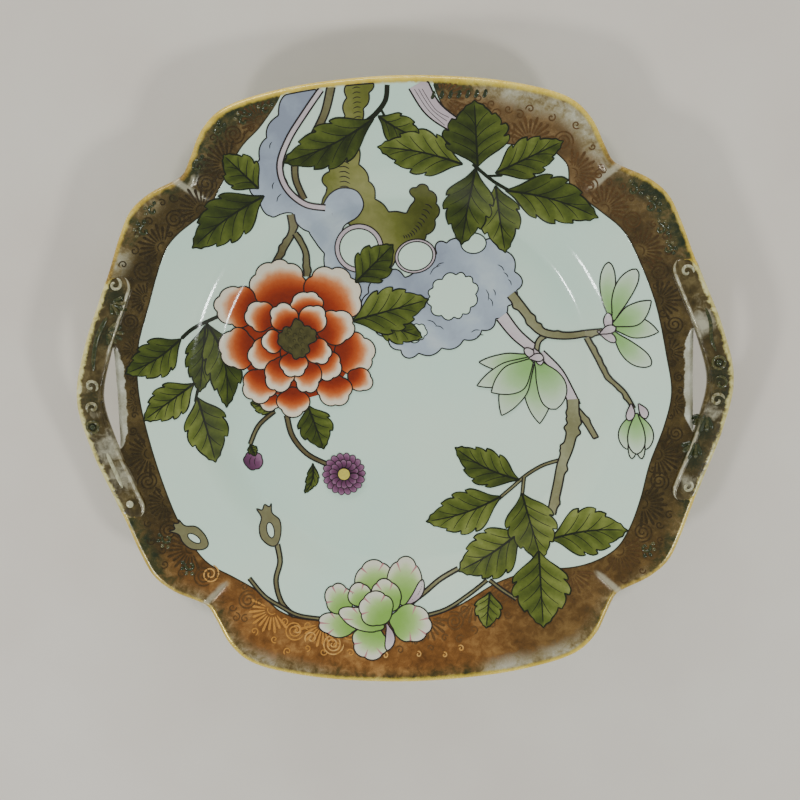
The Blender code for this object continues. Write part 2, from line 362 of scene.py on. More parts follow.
def glaze_material():
    """White china with its gilt border, lip and rubbed places, laid out by distances kept on the mesh."""
    s = Shade("glazed_china_painted")
    fine, broad, streak = s.noise(1.1, 5, 0.6), s.noise(11, 3), s.noise(3.4, 4, 0.62, 0.5)
    band, edge, south = s.value("band_mm"), s.value("edge_mm"), s.value("south")
    wash = s.blend(broad, 0.5, streak, 0.5)
    dark, warm, ruddy = (s.ramp(wash, list(zip((0.30, 0.50, 0.70), colours))) for colours in (
        ((44, 34, 8), (74, 58, 24), (108, 88, 46)),
        ((90, 54, 18), (140, 90, 40), (192, 140, 78)),
        ((78, 56, 28), (112, 84, 48), (148, 118, 76))))
    border = s.mix(south, s.mix(s.value("ruddy"), dark, ruddy), warm)
    border = s.mix(s.step(band, 0.9, 0.2), border, linear((40, 28, 12)))
    # towards the lip the gilding is rubbed and mottled with green and white
    lean = s.less(s.value("worn"), s.value("green"))
    mottle = s.sum(s.sum(s.times(streak, 0.60), s.blend(broad, 0.28, fine, 0.12)), s.times(lean, 0.22))
    rubbed = s.ramp(mottle, [(0.28, (30, 44, 24)), (0.40, (66, 66, 32)), (0.50, (106, 86, 48)),
                             (0.60, (146, 130, 92)), (0.72, (184, 176, 148)), (0.86, (210, 208, 188))])
    depth = s.less(s.sum(edge, s.sway(streak, 7.0)), s.value("rub_mm"))
    border = s.mix(s.step(depth, 3.8, -3.2, 0.0, 0.90), border, rubbed)
    yellow = s.ramp(s.blend(fine, 0.35, broad, 0.65),
                    [(0.36, (216, 184, 58)), (0.52, (244, 212, 84)), (0.68, (250, 228, 120))])
    gold = s.ramp(s.blend(fine, 0.4, streak, 0.6),
                  [(0.36, (84, 56, 18)), (0.52, (146, 112, 48)), (0.68, (202, 170, 96))])
    lip = s.mix(s.value("lip_tone"), yellow, gold)
    lip = s.mix(s.step(edge, 0.7, 2.6, 0.0, 0.45), lip, linear((128, 112, 44)))
    lipped = s.step(s.less(edge, s.sum(s.value("lip_mm"), s.sway(streak, 2.0))), 0.8, -0.5)
    colour = s.mix(s.step(band, -0.12, 0.12), s.ramp(s.noise(45, 2), CHINA_WHITE), border)
    colour = s.mix(lipped, colour, lip)
    ridge = s.step(s.sum(s.value("ridge"), s.sway(streak, 0.5)), 0.15, 0.75, 0.0, 0.75)
    colour = s.mix(ridge, colour, linear((186, 178, 152)))
    chip = s.sum(s.value("slot_mm"), s.sway(s.noise(2.8, 3, 0.6), 3.0))
    bare = s.ramp(s.noise(6, 3), [(0.3, (168, 162, 136)), (0.7, (218, 216, 198))])
    colour = s.mix(s.step(chip, 0.35, -0.35), colour, bare)
    painted = s.step(band, -0.1, 0.1)
    metal = s.times(painted, s.step(south, 0.0, 1.0, 0.12, 0.32))
    rough = s.sum(s.times(painted, s.step(fine, 0.3, 0.7, 0.08, 0.22)), s.step(broad, 0.2, 0.8, 0.07, 0.11))
    bump = s.blend(s.noise(5, 2), 0.8, s.times(streak, painted), 1.8)
    return s.finish(colour, rough, metal, bump, 0.06)


def bare_material():
    s = Shade("wiped_foot_biscuit")
    grain = s.noise(0.5, 4, 0.7)
    colour = s.ramp(grain, [(0.3, (176, 168, 150)), (0.55, (206, 200, 184)), (0.75, (224, 220, 206))])
    colour = s.mix(s.step(s.noise(6, 3), 0.5, 0.75, 0.0, 0.5), colour, linear((142, 128, 104)))
    return s.finish(colour, s.step(grain, 0.2, 0.8, 0.45, 0.65), bump=grain, depth=0.05)


def enamel(name, stops, mottle=0.14, size=1.6, streaks=0.0):
    """Fired enamel: a wash whose depth follows the tint kept on the mesh, with brush mottling."""
    s = Shade(name)
    wash = s.sum(s.value("tint"), s.sway(s.noise(size, 4, 0.6, 0.4), mottle * 2))
    if streaks:
        wash = s.sum(wash, s.sway(s.noise(0.55, 3, 0.6, 1.5), streaks))
    return s.finish(s.ramp(wash, stops), s.step(s.noise(1.3), 0.3, 0.7, 0.10, 0.20), bump=s.noise(1.2, 3))


def print_material(name, stops, metal):
    s = Shade(name)
    colour = s.ramp(s.sum(s.value("tint"), s.sway(s.noise(1.4, 4), 0.6)), stops)
    rough = s.step(s.noise(0.8), 0.3, 0.7, 0.16, 0.30)
    return s.finish(colour, rough, s.step(s.noise(2.0), 0.2, 0.8, *metal))


def relief_material():
    s = Shade("relief_enamel")
    fine = s.noise(1.0, 4, 0.6)
    colour = s.ramp(s.sum(s.value("tint"), s.sway(fine, 0.7)), [
        (0.05, (22, 32, 16)), (0.30, (52, 58, 28)), (0.52, (104, 94, 56)), (0.75, (186, 182, 150))])
    return s.finish(colour, s.step(fine, 0.3, 0.7, 0.07, 0.16), bump=fine, depth=0.04)


def handle_material():
    s = Shade("banded_china_gilt")
    share = s.value("share")
    streak, fine, broad = s.noise(3.0, 4, 0.6, 0.6), s.noise(0.9, 5, 0.6), s.noise(9, 3)
    colour = s.ramp(s.blend(streak, 0.5, broad, 0.5),
                    [(0.34, (48, 38, 14)), (0.5, (78, 64, 32)), (0.66, (116, 100, 62))])
    wear = s.sum(s.sway(streak, 1.2), s.value("worn"))
    colour = s.mix(s.step(wear, 0.25, 1.05, 0.0, 0.85), colour, linear((190, 184, 160)))
    dark = s.sum(s.sway(fine, 1.2), s.value("green"))
    colour = s.mix(s.step(dark, 0.30, 0.95, 0.0, 0.8), colour, linear((36, 44, 24)))
    bead = s.times(s.step(share, 0.15, 0.12), s.step(share, 0.02, 0.045))
    pale = s.ramp(streak, [(0.35, (138, 124, 88)), (0.6, (196, 190, 164))])
    colour = s.mix(s.times(bead, s.value("beaded")), colour, pale)
    strip = s.ramp(s.blend(streak, 0.6, broad, 0.4), [
        (0.34, (158, 142, 66)), (0.46, (206, 192, 112)), (0.60, (222, 212, 148)), (0.74, (222, 220, 190))])
    colour = s.mix(s.step(s.sum(share, s.sway(streak, 0.34)), 0.75, 0.88), colour, strip)
    return s.finish(colour, s.step(fine, 0.3, 0.7, 0.10, 0.22), s.step(share, 0.7, 0.5, 0.0, 0.12),
                    s.sum(s.times(fine, 0.3), streak), 0.10)



# ---------------------------------------------------------------- the dish
def dish_section():
    """Section points (radius, height) from the middle of the top, over the lip and back underneath."""
    r_top = np.r_[np.linspace(0, 74, 34, endpoint=False), np.linspace(74, 93, 38, endpoint=False),
                  np.linspace(93, TOP_R[-1], 52)]
    top = np.column_stack([r_top, np.interp(r_top, TOP_R, TOP_Z)])
    turn = math.pi / 2 + math.atan(_slope[-1]) - math.pi * np.arange(1, 11) / 11
    lip_height = wall_height(LIP_MIDDLE) + WALL / 2 * np.sin(turn)
    lip = np.column_stack([LIP_MIDDLE + WALL / 2 * np.cos(turn), lip_height])
    r_under = np.r_[np.linspace(UNDER_R[-1], 94, 14, endpoint=False),
                    np.linspace(94, 76, 16, endpoint=False),
                    np.linspace(76, 0, 16)]
    under = np.column_stack([r_under, np.interp(r_under, UNDER_R, UNDER_Z)])
    return np.vstack([top, lip, under]), len(top)


def polar_grid(section, turns):
    """The section turned about Z: points, and faces with single points at both ends of the axis."""
    angle = np.linspace(0, 2 * np.pi, turns, endpoint=False)
    body = section[1:-1]
    x = np.outer(body[:, 0], np.cos(angle)).ravel()
    y = np.outer(body[:, 0], np.sin(angle)).ravel()
    z = np.repeat(body[:, 1], turns)
    points = np.vstack([np.column_stack([x, y, z]), [(0, 0, section[0, 1]), (0, 0, section[-1, 1])]])
    first, last = len(points) - 2, len(points) - 1
    ring = (len(body) - 1) * turns
    caps = [(first, t, (t + 1) % turns) for t in range(turns)]
    caps += [(last, ring + (t + 1) % turns, ring + t) for t in range(turns)]
    return points, ring_faces(len(body), turns) + caps


def bay_outline(side):
    """The dish's bay from above: the pierced slot, and the room that the handle bar fills, less its lap."""
    held = BAR_WIDTH / 2 - BAR_LAP
    y = np.linspace(-HANDLE_REACH, HANDLE_REACH, 120)
    edge, nx, ny = bar_frame(y)
    out, along = np.column_stack([nx, ny]), np.column_stack([-ny, nx])
    middle = np.column_stack([edge - nx * BAR_WIDTH / 2, y - ny * BAR_WIDTH / 2])
    inner = middle - out * held
    inner[:, 0] = np.minimum(inner[:, 0], np.where(np.abs(y) < 30, SLOT_EDGE, np.inf))
    turn = np.linspace(0, np.pi, 20)[1:-1, None]
    far_end = middle[-1] - held * np.cos(turn) * out[-1] + held * np.sin(turn) * along[-1]
    near_end = middle[0] + held * np.cos(turn) * out[0] - held * np.sin(turn) * along[0]
    outer = middle + out * (BAR_WIDTH / 2 + 3)
    loop = np.vstack([inner, far_end, middle[-1:] + out[-1:] * held, outer[::-1], middle[:1] + out[:1] * held,
                      near_end])
    return loop[::-1] * (side, 1)


def patches(x, y, places):
    """Soft round places: (x, y, radius, strength)."""
    total = np.zeros(np.shape(x))
    for px, py, radius, strength in places:
        total = np.maximum(total, strength * np.exp(-((x - px) ** 2 + (y - py) ** 2) / radius**2))
    return total


WORN = [(45, 108, 18, 0.9), (70, 104, 14, 0.8), (26, 112, 10, 0.4), (38, -118, 16, 1.2),
        (60, -114, 12, 1.0),
        (-62, -110, 12, 0.8), (-46, -117, 9, 0.6), (12, -119, 9, 0.3), (-98, 76, 7, 0.6), (85, 88, 7, 0.8),
        (-109, 55, 7, 0.9), (96, -82, 12, 0.5), (-88, -80, 10, 0.4), (76, 92, 8, 0.8)]
GREEN = [(-4, -120, 16, 0.8), (24, -119, 8, 0.7), (-80, 94, 12, 0.8), (-102, 68, 8, 0.8),
         (-60, 111, 14, 0.9),
         (20, 121, 12, 0.9), (100, 76, 12, 1.0), (109, 62, 9, 1.0), (-100, -62, 14, 0.7), (104, -68, 12,
                                                                                           0.6),
         (-112, -48, 8, 0.6), (113, -52, 8, 0.6)]
# By direction in degrees: the lip's tone (0 lemon, 1 rubbed gold), its width, and how far in it is rubbed.
LIP_TONE = [
    (0, 0.1), (25, 0.15), (38, 0.4), (43, 0.8), (47, 1.0), (52, 0.3), (62, 0.1), (90, 0.0), (120, 0.1),
    (130, 0.5), (134, 1.0), (140, 0.5), (148, 0.3), (155, 0.9), (166, 0.7), (180, 0.15), (200, 0.2),
    (222, 0.6),
    (236, 0.2), (270, 0.15), (300, 0.15), (316, 0.8), (330, 0.25), (345, 0.1), (360, 0.1)]
LIP_REACH = [
    (0, 1.4), (40, 1.6), (60, 2.2), (75, 2.8), (90, 2.6), (110, 2.4), (130, 2.0), (145, 1.8), (165, 1.2),
    (180, 1.2), (225, 1.6), (270, 2.2), (315, 2.0), (340, 1.4), (360, 1.4)]
RUBBED = [
    (0, 1), (20, 4), (32, 8.5), (42, 6), (47, 3), (52, 8), (62, 9.5), (72, 6.5), (80, 6.5), (90, 6),
    (112, 7),
    (122, 8.5), (130, 6), (136, 3), (142, 7), (152, 6), (162, 3), (180, 1), (198, 3), (212, 7), (222, 4),
    (232, 5), (245, 5.5), (262, 3.5), (275, 4), (290, 5.5), (305, 5.5), (316, 2), (328, 5), (340, 3),
    (360, 1)]


def paint_values(x, y):
    """What the glaze's material needs to know of each point of the top."""
    angle = np.mod(np.degrees(np.arctan2(y, x)), 360)
    border, _ = to_path(x, y, GROUND, True)
    edge, _ = to_path(x, y, OUTLINE[::4], True)
    bare = 3.6 * np.clip(1.15 - (np.abs(y) / 21.5) ** 4, 0, 1)
    slot = SLOT_EDGE - bare - np.abs(x) + 3 * (np.abs(y) > 22.5)
    return {
        "band_mm": np.where(inside(x, y, GROUND), -border, border), "edge_mm": edge,
        "lip_tone": np.interp(angle, *zip(*LIP_TONE)), "lip_mm": np.interp(angle, *zip(*LIP_REACH)),
        "rub_mm": np.interp(angle, *zip(*RUBBED)),
        "south": soft(-y - 0.15 * np.abs(x), 30, 88) * (1 - 0.72 * soft(x, 5, 65)),
        "ruddy": soft(y + 0.35 * x, 60, 120) * (1 - 0.6 * soft(x, 68, 96)),
        "worn": patches(x, y, WORN), "green": patches(x, y, GREEN), "ridge": ridge_lift(x, y),
        "slot_mm": slot,
    }


def cut_bay(dish, side, name):
    loop = bay_outline(side)
    n = len(loop)
    low, high = (np.column_stack([loop, np.full(n, z)]) for z in (8.0, 40.0))
    order = list(range(n))[::side]
    walls = [(a, b, b + n, a + n) for a, b in zip(order, order[1:] + order[:1])]
    ends = [tuple(order[::-1]), tuple(k + n for k in order)]
    cutter = new_object(f"{name}_slot_cutter", np.vstack([low, high]), walls + ends, smooth=False)
    cut = dish.modifiers.new(name, "BOOLEAN")
    cut.operation, cut.solver, cut.object = "DIFFERENCE", "EXACT", cutter
    bpy.context.view_layer.objects.active = dish
    with bpy.context.temp_override(object=dish, active_object=dish, selected_objects=[dish]):
        bpy.ops.object.modifier_apply(modifier=cut.name)
    bpy.data.objects.remove(cutter)


def make_dish(material):
    section, top_count = dish_section()
    turns = 660
    points, faces = polar_grid(section, turns)
    r = np.hypot(points[:, 0], points[:, 1])
    reach = rim_radius(np.arctan2(points[:, 1], points[:, 0])) - CAVETTO_RADIUS
    outward = CAVETTO_RADIUS + (r - CAVETTO_RADIUS) * reach / (HALF_WIDTH - CAVETTO_RADIUS)
    stretched = np.where(r > CAVETTO_RADIUS, outward, r)
    points[:, :2] *= np.where(r > 0, stretched / np.maximum(r, 1e-9), 1)[:, None]
    x, y = points[:, 0], points[:, 1]
    place = np.arange(len(points))
    on_top = (place < (top_count - 1) * turns) | (place == len(points) - 2)
    points[on_top, 2] += ridge_lift(x[on_top], y[on_top])
    near = on_top & (np.abs(x) > SLOT_EDGE - EDGE_ROLL)
    points[near, 2] -= slot_drop(x[near], y[near])
    values = paint_values(x, y)
    # the underside is plain: far inside the ground, and far from the lip and the slot
    under = (place // turns >= top_count + 7) & (place != len(points) - 2)
    for key, plain in (("band_mm", -5.0), ("edge_mm", 30.0), ("ridge", 0.0), ("slot_mm", 5.0)):
        values[key] = np.where(under, plain, values[key])
    dish = new_object("platter_dish", points, faces, values)
    cut_bay(dish, 1, "right")
    cut_bay(dish, -1, "left")
    dish.data.set_sharp_from_angle(angle=math.radians(50))
    return keep(dish, material, "glazed_china", "platter_body")


def make_foot(material):
    middle = WELL_RADIUS - FOOT_INSET - FOOT_WIDTH / 2
    half_height = (FOOT_HEIGHT + 0.6) / 2
    ring = []
    for turn in np.linspace(-np.pi / 2, 1.5 * np.pi, 40, endpoint=False):
        across, up = (math.copysign(abs(v) ** 0.55, v) for v in (math.cos(turn), math.sin(turn)))
        ring.append((middle + across * FOOT_WIDTH / 2, up * half_height + half_height))
    turns = 320
    angle = np.linspace(0, 2 * np.pi, turns, endpoint=False)
    points = [(r * math.cos(a), r * math.sin(a), z) for a in angle for r, z in ring]
    foot = new_object("foot_ring_wiped", points, ring_faces(turns, len(ring), wrap=True))
    return keep(foot, material, "wiped_foot", "foot_ring")


# ---------------------------------------------------------------- the handles
BAR_MIDDLE = float(wall_height(HALF_WIDTH - BAR_WIDTH / 2))
BAR_LAP = 1.2
END_ROUND = BAR_WIDTH / 2
# Stained and rubbed places of each handle: (x, y, radius, strength).
HANDLE_GREEN = {
    1: [(121, -20, 7, 1.0), (117, -31, 8, 1.0), (128, 3, 7, 0.9), (129, -7, 6, 0.9), (124, 18, 5, 0.5)],
    -1: [(-115, 42, 7, 0.9), (-112, 33, 7, 0.8), (-120, 26, 8, 0.8), (-128, 0, 7, 0.7),
         (-129, -11, 5, 0.9)],
}
HANDLE_WORN = {
    1: [(121, 24, 6, 1.0), (120, 33, 4, 0.4), (125, -13, 5, 0.7), (115, -42, 4, 0.7)],
    -1: [(-122, -20, 8, 0.8), (-117, -32, 8, 0.7), (-128, 6, 3, 0.5), (-127, -6, 3, 0.5)],
}


def bar_profile(share):
    """The bar's top over its middle height: a bead at the inner edge (share 0), then a crown to the outer."""
    bead = 0.85 * np.exp(-((share - 0.085) / 0.055) ** 2)
    crown = BAR_THICKNESS / 2 - 1.05 + 0.75 * np.sin(np.pi * np.clip(share, 0, 1)) ** 0.8
    rolled = np.sqrt(np.clip(1 - ((np.clip(share, 0.84, 1) - 0.84) / 0.16) ** 2, 0, 1))
    start = np.sqrt(np.clip(1 - ((0.055 - np.clip(share, 0, 0.055)) / 0.055) ** 2, 0, 1))
    return (crown + bead) * rolled * (0.25 + 0.75 * start)


def bar_frame(y):
    """The outline's X at the bar, and the direction straight out of it."""
    slope = (outline_x(y + 0.2) - outline_x(y - 0.2)) / 0.4
    size = np.hypot(1, slope)
    return outline_x(y), 1 / size, -slope / size


def handle_top(x, y):
    """The bar's height at a point of its top, for what is modelled on it."""
    x = np.abs(x)
    edge, nx, _ = bar_frame(y)
    share = np.clip(1 - (edge - x) * nx / BAR_WIDTH, 0.02, 0.98)
    return BAR_MIDDLE + bar_profile(share)


def make_handle(name, side, node, material):
    turn = np.linspace(0, 1, 22)[1:] * math.pi / 2
    rings = [(-HANDLE_REACH, -math.sin(t), math.cos(t)) for t in turn[::-1]]
    rings += [(y, 0.0, 1.0) for y in np.linspace(-1, 1, 300) * HANDLE_REACH]
    rings += [(HANDLE_REACH, math.sin(t), math.cos(t)) for t in turn]
    across = 0.5 - 0.5 * np.cos(np.linspace(0, np.pi, 46))
    section = [(s, float(bar_profile(np.array(s)))) for s in across]
    for s in across[-2:0:-1]:
        section.append((s, -(BAR_THICKNESS / 2) * math.sqrt(max(0.0, 1 - abs(2 * s - 1) ** 3.2))))
    points, shares = [], []
    for base, beyond, narrow in rings:
        edge, nx, ny = bar_frame(base)
        mid_x = edge - nx * BAR_WIDTH / 2 - ny * beyond * END_ROUND
        mid_y = base - ny * BAR_WIDTH / 2 + nx * beyond * END_ROUND
        half_wide = max(narrow, 0.02) * (BAR_WIDTH / 2 + 0.35)
        low = max(narrow, 0.05) ** 0.5
        for share, up in section:
            out = (share - 0.5) * 2 * half_wide
            x_at = side * min(mid_x + nx * out, HALF_LENGTH)
            points.append((x_at, mid_y + ny * out, BAR_MIDDLE + up * low))
            shares.append(share)
    n, end = len(section), (len(rings) - 1) * len(section)
    faces = ring_faces(len(rings), n) + [tuple(range(n)), tuple(range(end, end + n))[::-1]]
    x, y, _ = np.array(points).T
    handle = new_object(name, points, [face[::-side] for face in faces], {
        "share": shares, "green": patches(x, y, HANDLE_GREEN[side]), "worn": patches(x, y,
                                                                                     HANDLE_WORN[side]),
        "beaded": soft(np.abs(y), 14, 24) * 0.9,
    })
    return keep(handle, material, "banded_china", node)


# ---------------------------------------------------------------- raised enamel drawn on the glaze
FIRST_COAT, COAT, PEN_LIFT, PEN_CROWN = 0.06, 0.035, 0.020, 0.014
CELL = 0.6
# Rings where the section bends, so that a coat needs closer points to follow it.
BENDS = ((73, 79), (89.5, 94))


def surface(x, y):
    """The height of whatever is painted on: the dish, or the handle's bar."""
    x, y = np.asarray(x, float), np.asarray(y, float)
    z, bar = dish_top(x, y), handle_top(x, y)
    edge, nx, _ = bar_frame(y)
    end_edge, end_nx, end_ny = bar_frame(HANDLE_REACH)
    end_x, end_y = end_edge - end_nx * BAR_WIDTH / 2, HANDLE_REACH - end_ny * BAR_WIDTH / 2
    past_end = np.hypot(np.abs(x) - end_x, np.abs(y) - end_y) - END_ROUND
    beyond = np.where(np.abs(y) > end_y, past_end, (edge - np.abs(x)) * nx - BAR_WIDTH)
    z = np.where(beyond < 0.3, np.maximum(bar, z), z)
    return np.where(beyond < -BAR_LAP, bar, z)


class Coats:
    """How many coats lie at each place, so that each new shape goes on above whatever it covers."""

    def __init__(self):
        self.count = np.zeros((480, 450))

    def cells(self, xy):
        return ((xy[:, 0] + 143) / CELL).astype(int), ((xy[:, 1] + 134) / CELL).astype(int)

    def add(self, loop):
        at = self.cells(np.vstack([grid_inside(loop, 0.5), loop]))
        coat = self.count[at].max() + 1
        self.count[at] = coat
        return coat

    def top(self, path):
        return self.count[self.cells(path)].max()


coats = Coats()


def refine(loop, step):
    """The closed loop with its own corners kept and its long sides divided."""
    out = []
    for a, b in zip(loop, np.roll(loop, -1, axis=0)):
        parts = max(int(math.ceil(math.dist(a, b) / step)), 1)
        out += [a + (b - a) * k / parts for k in range(parts)]
    return np.array(out)


def within_lip(path, gap=2.7):
    """The same points, with any beyond the lip's inner edge drawn in to it."""
    path = np.array(path, float)
    r = np.hypot(path[:, 0], path[:, 1])
    most = rim_radius(np.arctan2(path[:, 1], path[:, 0])) - gap
    return path * np.minimum(1, most / np.maximum(r, 1e-9))[:, None]


class Painting:
    """Shapes of one enamel, gathered into one object that follows the surface."""

    made = []

    def __init__(self, name, material, flat_layout=False, slot="glazed_china"):
        self.name, self.material, self.flat_layout, self.slot = name, material, flat_layout, slot
        self.points, self.faces, self.tints, self.count = [], [], [], 0
        Painting.made.append(self)

    def add(self, xyz, faces, tints):
        self.points.append(np.asarray(xyz, float))
        self.faces += [tuple(int(v) + self.count for v in face) for face in faces]
        self.tints.append(np.broadcast_to(np.asarray(tints, float), len(xyz)))
        self.count += len(xyz)

    def fill(self, loop, tint=0.5, spacing=1.1):
        """A flat shape inside the loop. The tint is a number, or a function of x and y."""
        loop = within_lip(refine(np.asarray(loop, float), 0.6))
        loop = loop[np.hypot(*(loop - np.roll(loop, 1, axis=0)).T) > 1e-4]
        coat = coats.add(loop)
        flat = [loop]
        for step, close in ((spacing, False), (0.5, True)):
            grid = grid_inside(loop, step, step / 2)
            r = np.hypot(*grid.T)
            grid = grid[np.any([(r > low) & (r < high) for low, high in BENDS], axis=0) == close]
            if len(grid):
                flat.append(grid[to_path(*grid.T, loop, True)[0] > step * 0.35])
        corners = [Vector(p) for p in np.vstack(flat)]
        made = geometry.delaunay_2d_cdt(corners, [], [list(range(len(loop)))], 1, 1e-5)
        xy = np.array([tuple(v) for v in made[0]])
        faces = []
        for face in made[2]:
            a, b, c = (xy[i] for i in face)
            turn = (b[0] - a[0]) * (c[1] - a[1]) - (b[1] - a[1]) * (c[0] - a[0])
            faces.append(face if turn > 0 else face[::-1])
        z = surface(*xy.T) + FIRST_COAT + COAT * coat
        self.add(np.column_stack([xy, z]), faces, tint(*xy.T) if callable(tint) else tint)
        return coat

    def stroke(self, path, width, coat=None, tint=0.5, height=PEN_CROWN, closed=False, step=0.55,
               round_ends=(0.0, 0.0), rows=3, sink=0.0):
        """A brush or pen line. The width is a number or a function of the share along it."""
        path = spaced(np.asarray(path, float), step, closed)
        if not sink:
            path = within_lip(path)
        n = len(path)
        side = left_of(path, closed)
        share = np.linspace(0, 1, n)
        wide = np.array([width(t) for t in share]) if callable(width) else np.full(n, float(width))
        for rounded, run in zip(round_ends, (share, 1 - share)):
            if rounded:
                wide = wide * np.sqrt(np.clip(1 - (1 - np.clip(run / rounded, 0, 1)) ** 2, 0.01, 1))
        across = np.linspace(-1, 1, rows)
        crown = np.sqrt(np.clip(1 - across**2, 0, 1))
        swell = wide / max(wide.max(), 1e-9)
        base = FIRST_COAT + COAT * (coats.top(path) if coat is None else coat) + PEN_LIFT - sink
        xyz = []
        for a, c in zip(across, crown):
            xy = path + side * (wide / 2 * a)[:, None]
            xyz.append(np.column_stack([xy, surface(*xy.T) + base + height * c * swell]))
        faces = []
        for i in range(n if closed else n - 1):
            j = (i + 1) % n
            faces += [(k + i, k + j, k + n + j, k + n + i) for k in range(0, (rows - 1) * n, n)]
        self.add(np.vstack(xyz), faces, np.tile(np.broadcast_to(tint, n), rows))

    def finish(self):
        tints = {"tint": np.concatenate(self.tints)}
        obj = new_object(self.name, np.vstack(self.points), self.faces, tints)
        if self.flat_layout:
            top_uv(obj)
        return keep(obj, self.material, self.slot)


LEAF = [(0.0, (32, 38, 4)), (0.30, (60, 70, 14)), (0.55, (88, 98, 30)), (0.80, (118, 126, 56)),
        (1.0, (146, 152, 88))]
ink = Painting("ink_lines", enamel("ink", [(0.2, (20, 16, 16)), (0.8, (46, 36, 30))]), True)
veins = Painting("leaf_veins", enamel("vein_ink", [(0.2, (14, 18, 4)), (0.8, (34, 36, 14))]), True)
leaves = Painting("leaves", enamel("leaf_green", LEAF, 0.16, 2.0, 0.14), True)
leaves_over = Painting("leaves_over", enamel("leaf_green_over", LEAF, 0.16, 2.0, 0.14), True)
rocks = Painting("blue_rocks", enamel(
    "rock_blue", [(0.1, (142, 149, 166)), (0.5, (170, 181, 194)), (0.9, (206, 215, 215))], 0.26, 7))
trunk = Painting("olive_trunk", enamel(
    "trunk_olive", [(0.1, (72, 74, 16)), (0.5, (108, 110, 42)), (0.9, (150, 146, 88))], 0.2, 4, 0.1))
whites = Painting("rock_openings", enamel("opening_white", CHINA_WHITE, 0.08, 6))
twigs = Painting("tan_branches", enamel(
    "branch_tan", [(0.1, (90, 76, 46)), (0.5, (124, 120, 84)), (0.9, (158, 156, 122))], 0.18, 2.4, 0.12))
pinks = Painting("pink_stems", enamel(
    "stem_pink", [(0.1, (176, 150, 160)), (0.6, (204, 188, 192)), (1.0, (220, 214, 210))], 0.16, 3))
peony = Painting("orange_peony", enamel("peony_orange", [
    (0.0, (112, 26, 0)), (0.18, (154, 50, 8)), (0.38, (188, 84, 30)), (0.56, (210, 126, 74)),
    (0.74, (228, 180, 140)), (0.94, (232, 218, 194))], 0.07, 1.8, 0.08))
pale_peony = Painting("pale_peony", enamel("peony_green", [
    (0.0, (130, 172, 76)), (0.38, (160, 194, 112)), (0.70, (200, 212, 166)), (1.0, (220, 216, 196))],
    0.08, 2.0))
magnolia = Painting("magnolias", enamel("magnolia_green", [
    (0.0, (138, 182, 104)), (0.45, (170, 202, 146)), (0.80, (198, 216, 186)), (1.0, (212, 224, 206))],
    0.08, 2.4))
purple = Painting("purple_flowers", enamel(
    "purple", [(0.0, (66, 28, 56)), (0.5, (112, 62, 96)), (1.0, (170, 128, 156))], 0.14, 1.2))
centres = Painting("flower_centres", enamel("stamens", [
    (0.0, (44, 40, 12)), (0.35, (82, 76, 38)), (0.7, (150, 136, 60)), (1.0, (224, 206, 92))], 0.10, 1.0))
blush = Painting("petal_blush", enamel("blush", [(0.2, (176, 110, 116)), (0.8, (196, 140, 140))]))
prints = Painting("border_print", print_material("print_brown", [
    (0.0, (42, 32, 10)), (0.2, (56, 42, 16)), (0.65, (100, 68, 32)), (1.0, (128, 90, 46))], (0.05,
                                                                                             0.25)), True)
gilt = Painting("gilt_print", print_material("print_gilt", [
    (0.2, (176, 106, 36)), (0.7, (222, 156, 74)), (1.0, (244, 196, 120))], (0.3, 0.55)), True)
relief = Painting("moulded_relief", relief_material(), slot="banded_china")
rng = random.Random(7)



def smooth_line(points, steps=8):
    return catmull(points, steps, False)


def local(base, tip):
    """Maps (share along, millimetres across) from a base and a tip to the dish."""
    base = np.array(base, float)
    along = np.array(tip, float) - base
    side = np.array([-along[1], along[0]]) / np.hypot(*along)
    return lambda s, w: base + np.multiply.outer(s, along) + np.multiply.outer(w, side)


def from_base(x, y, base, tip):
    """Share along the line from base to tip, and millimetres across it."""
    ux, uy = tip[0] - base[0], tip[1] - base[1]
    size = math.hypot(ux, uy)
    dx, dy = x - base[0], y - base[1]
    return (dx * ux + dy * uy) / size**2, (dy * ux - dx * uy) / size


def profile(points):
    line = smooth_line(points)
    return lambda s: np.interp(s, line[:, 0], line[:, 1])


LEAF_SWELL = profile([(0, 0.02), (0.06, 0.12), (0.16, 0.45), (0.29, 0.84), (0.42, 1.0), (0.56, 0.97),
                      (0.70, 0.76), (0.82, 0.47), (0.92, 0.20), (1.0, 0.0)])
ROUND = profile([(0, 0.16), (0.15, 0.42), (0.35, 0.80), (0.58, 1.0), (0.78, 0.92), (0.92, 0.58),
                 (0.985, 0.22), (1, 0)])
POINTED = profile([(0, 0.18), (0.15, 0.50), (0.38, 0.95), (0.55, 1.0), (0.74, 0.76), (0.88, 0.42),
                   (0.96, 0.15), (1, 0)])


